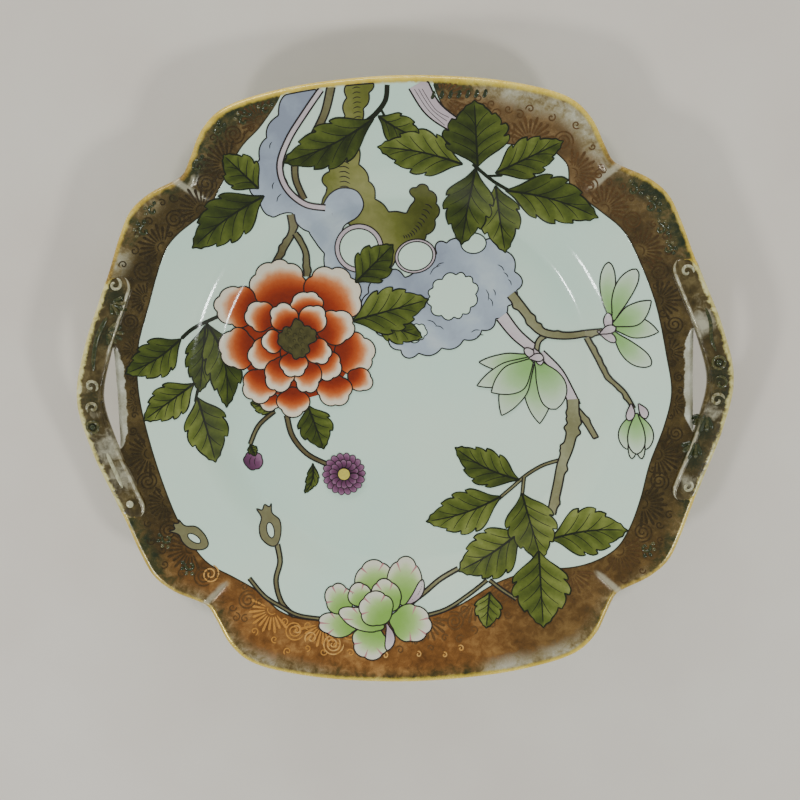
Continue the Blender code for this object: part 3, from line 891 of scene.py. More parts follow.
def leaf(group, base, tip, width, tone=0.5, bend=0.0, teeth=3):
    """A leaf whose sides run in long curves to a few hooked teeth, with drawn veins and an uneven wash."""
    place, length = local(base, tip), math.dist(base, tip)
    draw = random.Random(round(base[0] * 13 + tip[1] * 7 + width))

    def bow(s):
        return bend * np.sin(np.pi * np.asarray(s)) * length

    def swell(s):
        return LEAF_SWELL(s) * width / 2

    def edge(sign):
        first = draw.uniform(0.34, 0.44)
        cuts = [first + (0.90 - first) * (k / teeth) ** 0.9 + draw.uniform(-0.02, 0.02) for k in range(teeth)]
        cuts = [0.0] + cuts + [0.90]
        points = []
        for k, (a, b) in enumerate(zip(cuts, cuts[1:])):
            arc = [(a, swell(a) * (0.86 if k else 1.0))]
            for f, g in ((0.30, 0.97 if k else 1.0), (0.62, 1.05), (0.86, 1.08)):
                arc.append((a + (b - a) * f, swell(a + (b - a) * f) * g))
            arc.append((b + 0.022, swell(b) * 1.02 + 0.25))
            points.append(smooth_line(arc, 4))
        return np.vstack(points + [[(0.955, swell(0.955) * 0.9)]]) * (1, sign)

    loop = np.vstack([edge(1), [(1.0, 0.0)], edge(-1)[::-1]])
    outline = np.array([place(s, w + bow(s)) for s, w in loop])
    flip, phase = draw.choice((-1, 1)), draw.uniform(0, 6)

    def shade(x, y):
        s, w = from_base(x, y, base, tip)
        w = w - bow(np.clip(s, 0, 1))
        rel = np.abs(w) / (width / 2)
        ribs = np.cos(2 * np.pi * (s * 4.5 - rel * 0.8) + phase)
        return tone + 0.22 * (rel - 0.35) + 0.10 * flip * np.sign(w) + 0.10 * ribs - 0.08 * (1 - s)

    coat = group.fill(outline, shade, 1.0)
    veins.stroke(outline, lambda t: 0.52 + 0.12 * math.sin(t * 37 + phase), coat, closed=True, step=0.5)
    midrib = np.linspace(0, 0.94, 14)
    veins.stroke(place(midrib, bow(midrib)), lambda t: 0.40 + 0.55 * (1 - t), coat, round_ends=(0, 0.1))
    run = np.array([0, 0.09, 0.17, 0.235])
    for k in range(teeth + 1):
        for sign in (-1, 1):
            s0 = 0.14 + 0.58 * k / (teeth + 1) + (0.04 if sign > 0 else 0)
            out = np.array([0, 0.22, 0.50, 0.80]) * swell(min(s0 + 0.22, 0.95))
            line = place(s0 + run, bow(s0 + run) + sign * out)
            veins.stroke(smooth_line(line, 5), lambda t: 0.38 - 0.18 * t, coat, round_ends=(0, 0.2))


def petal(group, base, tip, width, lobes, depth, rays=False, full=0.5, deepest=0.0):
    """A broad petal with a lobed front edge, deep coloured at its base and pale at its rim."""
    draw = random.Random(round(base[0] * 31 + tip[0] * 17 + tip[1] * 7 + width))
    span = math.radians(132)
    cuts = np.linspace(-span, span, lobes + 1)
    cuts[1:-1] += np.array([draw.uniform(-0.12, 0.12) for _ in range(lobes - 1)]) * (cuts[1] - cuts[0])
    depths = np.array([depth * draw.uniform(0.7, 1.25) for _ in range(lobes)])
    turn = np.linspace(-np.pi, np.pi, 110, endpoint=False)
    which = np.clip(np.searchsorted(cuts, turn) - 1, 0, lobes - 1)
    share = np.clip((turn - cuts[which]) / (cuts[which + 1] - cuts[which]), 0, 1)
    lobed = 1 - depths[which] * (1 - np.sin(np.pi * share) ** 0.65)
    scale = np.where(np.abs(turn) < span, lobed, 1 - depth)
    along = 0.5 + 0.5 * np.cos(turn) * scale
    across = width / 2 * np.sin(turn) * scale * (1 - (1 - full) * np.clip(-np.cos(turn), 0, 1) ** 1.5)
    place = local(base, tip)
    loop = place(along, across)

    def shade(x, y):
        s, w = from_base(x, y, base, tip)
        near = 1 - np.clip(to_path(x, y, loop, True)[0] / (0.22 * min(math.dist(base, tip), width)), 0, 1)
        rise = soft(s * 0.92 + 0.20 * (2 * w / width) ** 2, 0.22, 1.04)
        return deepest + (1 - deepest) * np.clip(rise + 0.36 * near * soft(s, 0.35, 0.85), 0, 1)

    coat = group.fill(loop, shade, 0.9)
    ink.stroke(loop, 0.52, coat, closed=True, step=0.5)
    for cut, deep in zip(cuts[1:-1], depths):
        if rays and abs(cut) < 1.7:
            x, y = 0.5 * math.cos(cut), width / 2 * math.sin(cut)
            ray = [place(0.5 + x * f, y * f) for f in (1 - deep, 0.45)]
            blush.stroke(ray, lambda t: 0.75 * (1 - t) + 0.12, coat)


def blade(group, base, tip, width, bend=0.0, shape=ROUND, tone=(0.0, 1.0), line=0.52):
    """A long smooth petal, as of a magnolia or a daisy."""
    place, length = local(base, tip), math.dist(base, tip)
    s = np.linspace(0, 1, 26)[:-1]
    bow = bend * np.sin(np.pi * s) * length
    near, far = (place(s, sign * shape(s) * width / 2 + bow) for sign in (1, -1))

    def shade(x, y):
        at, w = from_base(x, y, base, tip)
        rel = np.abs(w - bend * np.sin(np.pi * np.clip(at, 0, 1)) * length) / (width / 2)
        return tone[0] + (tone[1] - tone[0]) * np.clip(soft(at, 0.10, 1.15) + 0.22 * rel**2, 0, 1)

    outlined(group, np.vstack([near, place(1, 0), far[::-1]]), shade, line, 0.9, 0.5)


def branch(group, start, end, tint, knots, path, line=0.66, seed=0, capped=False):
    """A filled stem with a pen line and some knots down each side. The start and end are its widths."""
    path = spaced(smooth_line(path), 0.8)
    n = len(path)
    side = left_of(path)
    share = np.linspace(0, 1, n)
    draw = random.Random(seed)
    run = share * n * 0.8
    sides = []
    for sign in (1, -1):
        swell = np.zeros(n)
        for _ in range(knots):
            at = draw.uniform(0.1, 0.9) * run[-1]
            swell = np.maximum(swell, draw.uniform(0.3, 0.9) * np.exp(-((run - at) / 1.3) ** 2))
        half_width = (start + (end - start) * share) / 2 + swell * start * 0.35
        sides.append(path + sign * side * half_width[:, None])
    loop = np.vstack([sides[0], sides[1][::-1]])
    coat = group.fill(loop, lambda x, y: tint + 0.12 * np.sin(0.21 * x + 0.17 * y), 1.2)
    for edge in sides + ([[sides[0][-1], sides[1][-1]]] if capped else []):
        ink.stroke(edge, line, coat)


def scallops(points, size, depth, steps=8):
    """A closed smooth loop whose edge swells in round lobes of slightly uneven size."""
    loop = spaced(catmull(points, steps, True), 0.6, True)
    n = len(loop)
    count = max(int(n * 0.6 / size), 3)
    share = np.arange(n) / n
    uneven = share + 0.18 / count * np.sin(2 * np.pi * share * 3 + size)
    wave = np.abs(np.sin(np.pi * count * uneven)) ** 0.8
    area = np.sum(loop[:, 0] * np.roll(loop[:, 1], -1) - loop[:, 1] * np.roll(loop[:, 0], -1))
    return loop + left_of(loop, True, 2) * (depth * (wave - 0.6))[:, None] * (-1 if area > 0 else 1)


def disc(x, y, radius, squash=1.0, lean=0.0, count=40):
    turn = np.linspace(0, 2 * np.pi, count, endpoint=False)
    c, s = math.cos(lean), math.sin(lean)
    px, py = radius * np.cos(turn), radius * squash * np.sin(turn)
    return np.column_stack([x + px * c - py * s, y + px * s + py * c])


def outlined(group, loop, tint, line=0.5, spacing=1.1, step=0.55):
    coat = group.fill(loop, tint, spacing)
    ink.stroke(loop, line, coat, closed=True, step=step)


def hatch(x, y, turn, size, line=0.38):
    """A short curved pen mark."""
    dx, dy = math.cos(turn) * size / 2, math.sin(turn) * size / 2
    mark = [(x - dx, y - dy), (x - dy * 0.3, y + dx * 0.3), (x + dx, y + dy)]
    ink.stroke(smooth_line(mark), line, round_ends=(0.4, 0.4))


# ---------------------------------------------------------------- the painting
def rock_wash(x, y):
    waves = 0.22 * np.sin(x * 0.075 + 1.2) * np.cos(y * 0.06) + 0.10 * np.sin(x * 0.3 + y * 0.23)
    return 0.45 + waves - 0.2 * soft(y, 70, 115)


def paint_rocks():
    outlined(rocks, scallops([
        (-41, 121), (-47, 112), (-52, 104), (-55, 96), (-58, 90), (-59, 83), (-55, 76), (-52, 71), (-48,
                                                                                                    73),
        (-44, 72), (-39, 65), (-34, 60), (-31, 51), (-30, 44), (-20, 34), (-12, 32), (-14, 44), (-24, 52),
        (-26, 62), (-26, 68), (-19, 70), (-15, 76), (-18, 81), (-25, 80), (-30, 75), (-38, 76), (-44, 82),
        (-46, 92), (-43, 101), (-37, 110), (-30, 121)], 9.5, 1.6), rock_wash, 0.55)
    outlined(rocks, scallops([
        (-14, 40), (-4, 47), (4, 45), (12, 50), (16, 58), (24, 59), (34, 60), (43, 55), (47, 47), (49, 40),
        (46, 33), (41, 27), (34, 21), (26, 17), (18, 14), (9, 12), (0, 12), (-8, 20), (-16, 28)], 8.5, 2.0),
        rock_wash, 0.55)
    outlined(whites, scallops(disc(21, 36, 10.5, 0.86, 0.5, 12), 5.0, 1.5), 0.6)
    outlined(whites, disc(30, 57.5, 5.2, 0.8), 0.6)
    outlined(whites, scallops(disc(5, 21, 5, 0.7, 0.4, 10), 3.2, 0.8), 0.6, 0.42)
    for mark in (
            (35, 36, -1.4, 5), (36.6, 33, -1.2, 4), (38, 37, -1.3, 3), (14, 47, 0.7, 6), (16, 49, 0.5, 4),
            (12, 25, -0.6, 5), (15, 23, -0.4, 4), (41, 47, -0.8, 4), (43, 44, -0.9, 3), (44.5, 41, -1.1, 3),
            (30, 21, 0.2, 4), (32, 19, 0.2, 3), (-50, 84, 1.3, 3), (-48, 79, 1.0, 4), (-50, 100, 1.2, 3)):
        hatch(*mark)


def paint_trunk():
    shape = [(-18, 123), (-20, 116), (-21, 108), (-22, 100), (-26, 92), (-30, 86), (-29, 80), (-32, 75),
             (-26, 70), (-18, 66), (-12, 62), (-8, 54), (-6, 48), (-2, 52), (3, 57), (9, 59), (14, 65),
             (16, 73),
             (13, 80), (9, 82), (5, 80), (6, 75), (2, 71), (-4, 72), (-9, 77), (-11, 84), (-15, 92),
             (-15, 100),
             (-14, 108), (-11, 116), (-9, 123)]
    outlined(trunk, scallops(shape, 7.0, 1.3),
             lambda x, y: 0.55 + 0.18 * np.sin(x * 0.16 + y * 0.05) - 0.30 * soft(x, -8, 16), 0.55)
    for k in range(12):
        hatch(-15.2, 121 - 1.9 * k, 0.1, 3.4, 0.36)
    for k in range(10):
        hatch(-21.5, 98 - 2.0 * k, -0.2, 4.6, 0.42)
    for k in range(12):
        hatch(1.5 + k * 0.95, 61.0 + 0.10 * k * k, -1.15 + k * 0.05, 1.6 + 0.2 * k, 0.44)


def paint_ribbons():
    lobe = smooth_line([(-24, 60), (-23, 66), (-17, 70), (-14.5, 75), (-17, 80.5), (-23, 82), (-28, 79.5),
                        (-31, 75)])
    coat = rocks.fill(np.vstack([lobe, [(-36, 74), (-38, 68), (-31, 61)]]), rock_wash)
    ink.stroke(lobe, 0.55, coat)
    for x, y, radius, squash, width in ((-17, 57, 9.9, 1.0, 1.9), (6, 53, 8.4, 0.82, 1.2)):
        coat = whites.fill(disc(x, y, radius, squash, 0.2), 0.6)
        pinks.stroke(disc(x, y, radius - width / 2, squash, 0.2), width, coat, closed=True, height=0.0)
        for r in (radius, radius - width):
            ink.stroke(disc(x, y, r, squash, 0.2, 60), 0.5, coat + 0.6, closed=True)
    branch(twigs, 3.2, 2.4, 0.3, 0, [(-25, 122), (-28, 112), (-33, 103), (-38, 94)])
    branch(twigs, 2.6, 2.2, 0.3, 0, [(-41, 93), (-41, 86), (-38, 78)])
    branch(pinks, 2.2, 2.4, 0.6, 0,
           [(-29, 121), (-36, 112), (-43, 102), (-47, 92), (-45, 83), (-38, 76), (-30, 74)])
    branch(pinks, 8.0, 5.0, 0.55, 0, [(9, 122), (14, 113), (21, 107), (30, 102)])
    for off in (-1.4, 0.2, 1.6):
        ink.stroke(smooth_line([(9 + off, 120), (14 + off, 112), (20 + off * 0.6, 107 + off)]), 0.24)


def paint_branches():
    branch(twigs, 2.8, 2.4, 0.3, 2, [(-44, 72), (-44, 65), (-48, 58), (-53, 50)], seed=1)
    branch(twigs, 2.2, 2.4, 0.3, 2, [(-43, 64), (-39, 56), (-39, 46)], seed=2)
    branch(pinks, 5.2, 4.0, 0.6, 0, [(41, 27), (47, 19), (55, 12)])
    branch(pinks, 3.0, 4.6, 0.6, 0, [(57, 11), (64, 3), (68, -5), (71, -12)])
    branch(twigs, 2.2, 1.8, 0.6, 0, [(60, 19), (56, 16), (55, 10)])
    branch(twigs, 3.8, 2.4, 0.6, 3, [(45, 36), (51, 28), (55, 22), (60, 19), (70, 18), (82, 20)], seed=3)
    branch(twigs, 2.2, 1.6, 0.6, 3, [(76, 17), (80, 9), (84, 1), (90, -5), (94, -12)], seed=4)
    branch(twigs, 2.8, 2.2, 0.55, 1, [(71, -13), (75, -18), (79, -25)], seed=9, capped=True)
    branch(twigs, 1.3, 1.2, 0.4, 0, [(64, -35), (57, -37), (50, -41), (44, -46), (38, -51)], 0.55)
    branch(twigs, 1.2, 1.2, 0.4, 0, [(49, -42), (48, -50)], 0.55)
    branch(twigs, 5.0, 3.2, 0.65, 5, [(70, -9), (70, -19), (68, -29), (65, -37), (63, -46), (60, -57)],
           seed=8)
    for row in (
            (1.8, 1.4, 0.5, 0, [(-2, -94), (5, -89), (12, -84), (20, -80)]),
            (1.6, 1.5, 0.25, 0, [(-55, -10), (-62, -16), (-66, -24)]),
            (2.0, 1.7, 0.25, 0, [(-50, -12), (-48, -21), (-42, -29), (-33, -34)]),
            (1.9, 1.6, 0.4, 0, [(-56, -66), (-55, -73), (-57, -81), (-55, -90), (-50, -96)]),
            (1.4, 1.3, 0.45, 0, [(-68, -79), (-62, -87), (-55, -92), (-48, -96), (-38, -98)]),
            (1.4, 1.3, 0.45, 0, [(2, -99), (14, -96), (24, -90), (32, -84)]),
            (1.4, 1.3, 0.45, 0, [(33, -84), (38, -88), (44, -92)])):
        branch(twigs, *row)
    # two cut, knotted stubs
    knot = [(-3.2, 9), (-1.2, 7.5), (0.2, 9.4), (1.8, 7.6), (3.0, 8.8), (2.2, 5), (4.4, 1), (3.6, -4),
            (1.2, -7.5),
            (-1.6, -7), (-4.2, -3), (-4.0, 1.5), (-2.2, 5)]
    for x, y, lean in ((-59, -59, 0.25), (-91, -60, 0.9)):
        c, s = math.cos(lean), math.sin(lean)
        stub, hole = ([(x + u * c - v * s, y + u * s + v * c) for u, v in loop]
                      for loop in (knot, disc(0, -1.2, 1.4, 2.2)))
        outlined(twigs, spaced(catmull(stub, 5, True), 0.6, True), 0.45)
        outlined(whites, np.array(hole), 0.6, 0.42)
    # thin dark stalks, drawn with the brush alone
    for width, path in (
            (2.0, [(-3, 122), (-4, 116), (-8, 111), (-12, 108)]), (1.0, [(-6, 113), (-4, 109)]),
            (1.4, [(30, 90), (38, 83), (46, 78)]), (1.0, [(36, 85), (42, 85)]),
            (1.6, [(-73, 32), (-79, 30), (-86, 27), (-91, 23)]), (1.1, [(-80, 30), (-81, 26)]),
            (1.2, [(-81, 10), (-85, 3), (-87, -4)]), (1.0, [(-86, 4), (-89, 3)]),
            (1.2, [(54, -64), (54, -73)]), (1.0, [(46, -62), (52, -66), (60, -67)])):
        veins.stroke(smooth_line(path), width, round_ends=(0, 0.05))


# Base x and y, tip x and y, width, tone, bend and teeth.
LEAVES = (
    (-9, 109, -46, 93, 17, 0.32, 0.05, 3), (-7, 110, 11, 100, 11.5, 0.46, -0.04, 2),
    (26, 90, -8, 98, 17, 0.60, -0.04, 3), (39, 86, 66, 98, 15, 0.48, 0.0, 3),
    (39, 81, 43, 53, 16, 0.56, 0.0, 2), (43, 79, 80, 67, 18, 0.44, 0.05, 3),
    (-12, 27, 8, 19, 12, 0.46, 0.0, 2), (-56, 83, -69, 97, 14, 0.46, 0.0, 2),
    (-54, 80, -84, 60, 18, 0.34, -0.04, 3), (-91, 23, -114, 10, 15, 0.42, 0.06, 3),
    (-81, 28, -85, 0, 13, 0.42, 0.0, 3), (-87, 4, -108, -10, 14, 0.60, 0.0, 3),
    (-41, -8, -35, -27, 14, 0.38, 0.0, 2), (-55, -10, -65, -6, 6, 0.50, 0.0, 2),
    (-40, -33, -44, -46, 5, 0.44, 0.12, 2), (47, -43, 20, -28, 15, 0.44, 0.06, 3),
    (39, -50, 7, -60, 18, 0.60, 0.05, 3), (47, -65, 20, -81, 18, 0.60, 0.04, 3),
    (59, -67, 91, -63, 19, 0.62, 0.05, 3), (33, -89, 31, -104, 11, 0.66, 0.0, 2))
LEAVES_OVER = (
    (32, 89, 31, 115, 25, 0.34, 0.0, 3), (31, 88, 25, 57, 19, 0.36, 0.0, 3),
    (-21, 27, 11, 35, 18, 0.56, 0.0, 3), (-80, 28, -75, -8, 15, 0.38, 0.08, 3),
    (-86, -2, -80, -30, 16, 0.54, 0.0, 2), (48, -49, 55, -76, 20, 0.58, 0.0, 3),
    (54, -72, 55, -104, 23, 0.58, 0.0, 3))


def paint_leaves(group, table):
    for bx, by, tx, ty, *look in table:
        leaf(group, (bx, by), (tx, ty), *look)


def paint_peony():
    peony.fill(disc(-44, 19, 24), 0.12, 1.6)
    for bx, by, tx, ty, width, lobes in (
            (-56, -1, -58, -10, 10, 3), (-48, 32, -54, 53, 24, 6), (-38, 29, -20, 46, 26, 6),
            (-58, 32, -77, 37, 18, 5), (-60, 18, -77, 16, 18, 4), (-30, 16, -12, 11, 18, 4),
            (-24, 6, -14, -1, 10, 3), (-57, 9, -64, -6, 15, 4), (-30, 6, -29, -9, 15, 4),
            (-47, 1, -47, -13, 14, 3), (-37, 22, -20, 27, 15, 4), (-39, 29, -40, 40, 14, 4),
            (-52, 27, -65, 33, 13, 4), (-51, 20, -64, 10, 13, 4), (-36, 15, -29, 3, 13, 4),
            (-40, 13, -41, -3, 12, 4), (-50, 14, -54, -2, 13, 4), (-46, 23, -52, 35, 12, 4),
            (-42, 23, -33, 33, 12, 3), (-49, 20, -59, 19, 10, 3), (-41, 19, -31, 11, 11, 4),
            (-46, 16, -46, 4, 12, 4)):
        petal(peony, (bx, by), (tx, ty), width, lobes, 0.14, full=0.8, deepest=0.05)
    core = [(-44, 29), (-41, 26), (-37, 24), (-36, 20), (-39, 18), (-40, 14), (-45, 12), (-48, 15),
            (-51, 17),
            (-52, 21), (-49, 25), (-46, 26)]
    outlined(centres, scallops(core, 4.0, 0.9), lambda x,
             y: 0.26 + 0.12 * np.sin(x * 1.3) * np.cos(y * 1.1))
    for _ in range(26):
        angle, r = rng.uniform(0, 6.28), 5.4 * math.sqrt(rng.random())
        seed_head = disc(*polar(-44, 20, r, angle), rng.uniform(0.6, 1.0), count=9)[:7]
        centres.stroke(seed_head, 0.34, tint=rng.uniform(0.0, 0.22), step=0.4, height=0.05)


def paint_pale_peony():
    def petals(table, depth, full):
        for bx, by, tx, ty, width, lobes in table:
            petal(pale_peony, (bx, by), (tx, ty), width, lobes, depth, True, full)

    petals(((-15, -90, -17, -76, 16, 3), (-4, -95, -2, -75, 15, 3)), 0.12, 0.6)
    blade(pinks, (-3, -94), (5, -84), 3.6, -0.1, tone=(0.2, 0.9))
    petals(((-11, -99, 8, -103, 16, 5), (-22, -102, -40, -99, 11, 4), (-15, -101, -21, -115, 16, 4)),
           0.12, 0.6)
    blade(pinks, (-11, -101), (-11, -112), 4.0, 0.12, tone=(0.2, 0.9))
    petals(((-27, -97, -34, -84, 12, 4), (-20, -94, -24, -84, 10, 3), (-6, -96, -15, -84, 12, 4),
            (-11, -103, -31, -95, 9, 3), (-10, -101, -20, -89, 15, 4)), 0.11, 0.85)


def paint_magnolias():
    for bx, by, tx, ty, width, bend, shape in (
            (85, 25, 84, 49, 6.2, 0.03, ROUND), (86, 25, 95, 46, 7.6, 0.05, ROUND),
            (86, 20, 101, 6, 7.6, -0.06, ROUND), (86, 22, 104, 20, 8.6, 0.05, POINTED),
            (86, 23, 101, 33, 8.6, -0.06, POINTED), (53, 10, 31, 8, 7, 0.06, POINTED),
            (53, 9, 30, -2, 9, 0.04, POINTED), (53, 6, 56, -19, 11, 0.04, POINTED),
            (55, 8, 63, -13, 12, 0.08, ROUND), (53, 6, 40, -15, 11, -0.05, POINTED),
            (53, 8, 36, -5, 12, 0.06, POINTED), (94, -14, 91, -29, 6, -0.10, ROUND),
            (95, -14, 99, -29, 6, 0.10, ROUND), (95, -14, 93, -33, 4, 0.0, ROUND),
            (95, -14, 97, -33, 4, 0.0, ROUND), (95, -14, 95, -31, 7, 0.0, ROUND)):
        blade(magnolia, (bx, by), (tx, ty), width, bend, shape)
    for bx, by, tx, ty in (
            (85, 19, 84, 28), (80, 20, 87, 16), (81, 19, 87, 22), (57, 9, 50, 13), (54, 13, 57, 6), (52,
                                                                                                     9,
                                                                                                     58, 9),
            (93, -10, 92, -17), (96, -10, 99, -16)):
        blade(pinks, (bx, by), (tx, ty), 3.4, 0.05, tone=(0.4, 0.8))


def paint_purple():
    middle = (-27, -38)
    for turned, count, near, far, width in ((0.0, 18, 3.0, 9.2, 3.1), (0.5, 14, 2.0, 6.4, 2.6)):
        for k in range(count):
            a = 2 * math.pi * (k + turned) / count
            blade(purple, polar(*middle, near, a), polar(*middle, far, a), width, tone=(0.1, 0.8),
                  line=0.30)
    outlined(centres, disc(*middle, 2.6), 0.9, 0.3)
    outlined(purple, scallops(disc(-65, -31, 4.0, count=12), 4.5, 0.5),
             lambda x, y: 0.45 + 0.07 * (x + 65) + 0.05 * (y + 31), 0.46)
    hatch(-66, -31, 1.3, 4, 0.3)
    hatch(-64, -31.5, 1.5, 4, 0.3)
    leaf(leaves, (-66, -24), (-64, -29), 4, 0.4, teeth=2)



# ---------------------------------------------------------------- the border's printed and moulded work
def coil(x, y, radius, turns, hand, start, first, count):
    """Points along a spiral, from this share of the radius out to all of it."""
    t = np.linspace(first, 1, count)
    a = start + hand * t * turns * 2 * np.pi
    return np.column_stack([x + radius * t * np.cos(a), y + radius * t * np.sin(a)])


def spiral(group, x, y, radius, turns=2.0, width=0.55, tint=0.4, hand=1, start=0.0):
    path = coil(x, y, radius, turns, hand, start, 0.08, int(26 * turns))
    group.stroke(path, width, tint=tint, round_ends=(0.05, 0.1), step=0.45)


def sunburst(group, x, y, radius, aim, rays, tint):
    spread, width = 2.7, 0.13 * radius
    for k in range(rays):
        a = aim + spread * (k / (rays - 1) - 0.5)
        far = radius * (1 - 0.12 * (k % 2))
        while far > 0.4 * radius and room(*polar(x, y, far, a)) < 0.2:
            far -= 0.5
        group.stroke([polar(x, y, 0.30 * radius, a), polar(x, y, far, a)],
                     lambda t: width * (0.35 + 0.65 * t), tint=tint, round_ends=(0.1, 0.2), step=0.5)
    arc = [polar(x, y, 0.2 * radius, aim + spread * f) for f in np.linspace(-0.5, 0.5, 9)]
    group.stroke(arc, 0.45, tint=tint, step=0.4)


def band_line(step):
    """Points along the border's inner line, each with the direction straight across the border."""
    line = spaced(GROUND, step, True)
    out = left_of(line, True)
    out *= np.sign((out * line).sum(1))[:, None]
    return [(p, n) for p, n in zip(line, out) if not (-48 < p[0] < 16 and p[1] > 100)]


def room(x, y):
    """How much border lies round a point before the ground, the lip or the slot, or -1 off the border."""
    x, y = np.array([float(x)]), np.array([float(y)])
    ground, _ = to_path(x, y, GROUND, True)
    lip, _ = to_path(x, y, OUTLINE[::4], True)
    gap = min(ground[0], lip[0] - 2.6)
    if inside(x, y, GROUND)[0] or np.hypot(x, y)[0] > rim_radius(math.atan2(y[0], x[0])):
        return -1.0
    if abs(y[0]) < 25:
        gap = min(gap, SLOT_EDGE - 3.5 - abs(x[0]))
    elif abs(y[0]) < 51:
        gap = min(gap, float(outline_x(y)[0]) - BAR_WIDTH - 1.0 - abs(x[0]))
    return gap


def paint_border():
    draw = random.Random(3)
    for k, (p, n) in enumerate(band_line(5.4)):
        low, high = float(soft(-p[1], 50, 90)), float(soft(p[1] + 0.35 * p[0], 60, 110))
        bright = p[1] < -84 and -58 < p[0] < -26
        group, tint = (gilt, 0.6) if bright else (prints, 0.15 + 0.5 * max(low, 0.8 * high))
        if math.dist(np.abs(p), (76, 80)) < 5:
            continue
        if k % 4 == 0:
            c = p + n * 1.6
            reach = max((r for r in (10, 9, 8, 7, 6, 5, 4) if room(*(c + n * (r - 0.5))) > 0), default=0)
            if reach:
                sunburst(group, *c, reach, math.atan2(n[1], n[0]), 11 if reach > 6 else 8, tint)
        elif k % 4 == 2:
            for c in (p + n * inset for inset in (5.5, 4.5, 3.5, 2.6)):
                if room(*c) > 2.0:
                    r = min(room(*c) - 0.3, 4.2)
                    spiral(group, *c, r, 1.2 + r * 0.35, 0.6, tint, draw.choice((-1, 1)),
                           draw.uniform(0, 6))
                    break
        for inset in ((11.5, 2.6) if k % 2 else (13.5,)):
            c = p + n * inset + np.array([draw.uniform(-1, 1), draw.uniform(-1, 1)])
            if room(*c) > 1.6:
                r = draw.uniform(1.3, 2.1)
                spiral(group, *c, r, 1.4, 0.5, tint, draw.choice((-1, 1)), draw.uniform(0, 6))
    for place in (
            (-34, -108.5, 4.6, 3.0), (-43, -105.5, 2.8, 1.6), (-84, -76, 3.8, 2.2), (-49, -102, 2.0, 1.4),
            (-12, -114, 1.3, 1.3), (2, -114, 1.3, 1.3), (13, -114.5, 1.2, 1.3), (20, -112, 1.4, 1.4)):
        spiral(gilt, *place, 0.6, 0.8)


def bead(x, y, radius, tint=0.6, height=1.0):
    """A low raised button."""
    rings, turns, sink = 6, 26, 0.15
    pts = [(x, y, float(surface(x, y)) + height)]
    for t in np.arange(1, rings + 1) / rings:
        rise = height * math.sqrt(max(0.0, 1 - t * t)) - sink * (t == 1)
        for j in range(turns):
            px, py = polar(x, y, radius * t, 2 * math.pi * j / turns)
            pts.append((px, py, float(surface(px, py)) + rise))
    cap = [(0, 1 + j, 1 + (j + 1) % turns) for j in range(turns)]
    relief.add(pts, cap + ring_faces(rings, turns, 1), tint)


def raised(path, width, height, tint=0.4, ends=(0.2, 0.3), closed=False):
    line = smooth_line(path) if len(path) < 30 else path
    relief.stroke(line, width, 0, tint, height, closed=closed, rows=9, step=0.45, round_ends=ends,
                  sink=0.16)


def ribs(x, y, radius, aim, count=5, spread=1.7, tint=0.3, height=0.8):
    """A fan of rounded raised ribs, as on a moulded shell."""
    for k in range(count):
        a = aim + spread * (k / (count - 1) - 0.5)
        reach = radius * (1 - 0.22 * abs(2 * k / (count - 1) - 1))
        raised([polar(x, y, f * reach, a) for f in (0.12, 0.55, 1.0)],
               lambda t: radius * (0.16 + 0.14 * t), height, tint + 0.12 * (k % 2), (0.2, 0.35))


def curl(x, y, radius, turns=1.25, hand=1, start=0.0, width=1.3, height=0.8, tint=0.5):
    raised(coil(x, y, radius, turns, hand, start, 0.14, 34), width, height, tint, (0.12, 0.25))


def roundel(x, y, radius):
    raised(disc(x, y, radius - 0.7), 1.4, 0.9, 0.40, (0, 0), closed=True)
    bead(x, y, radius * 0.45, 0.25, 1.0)


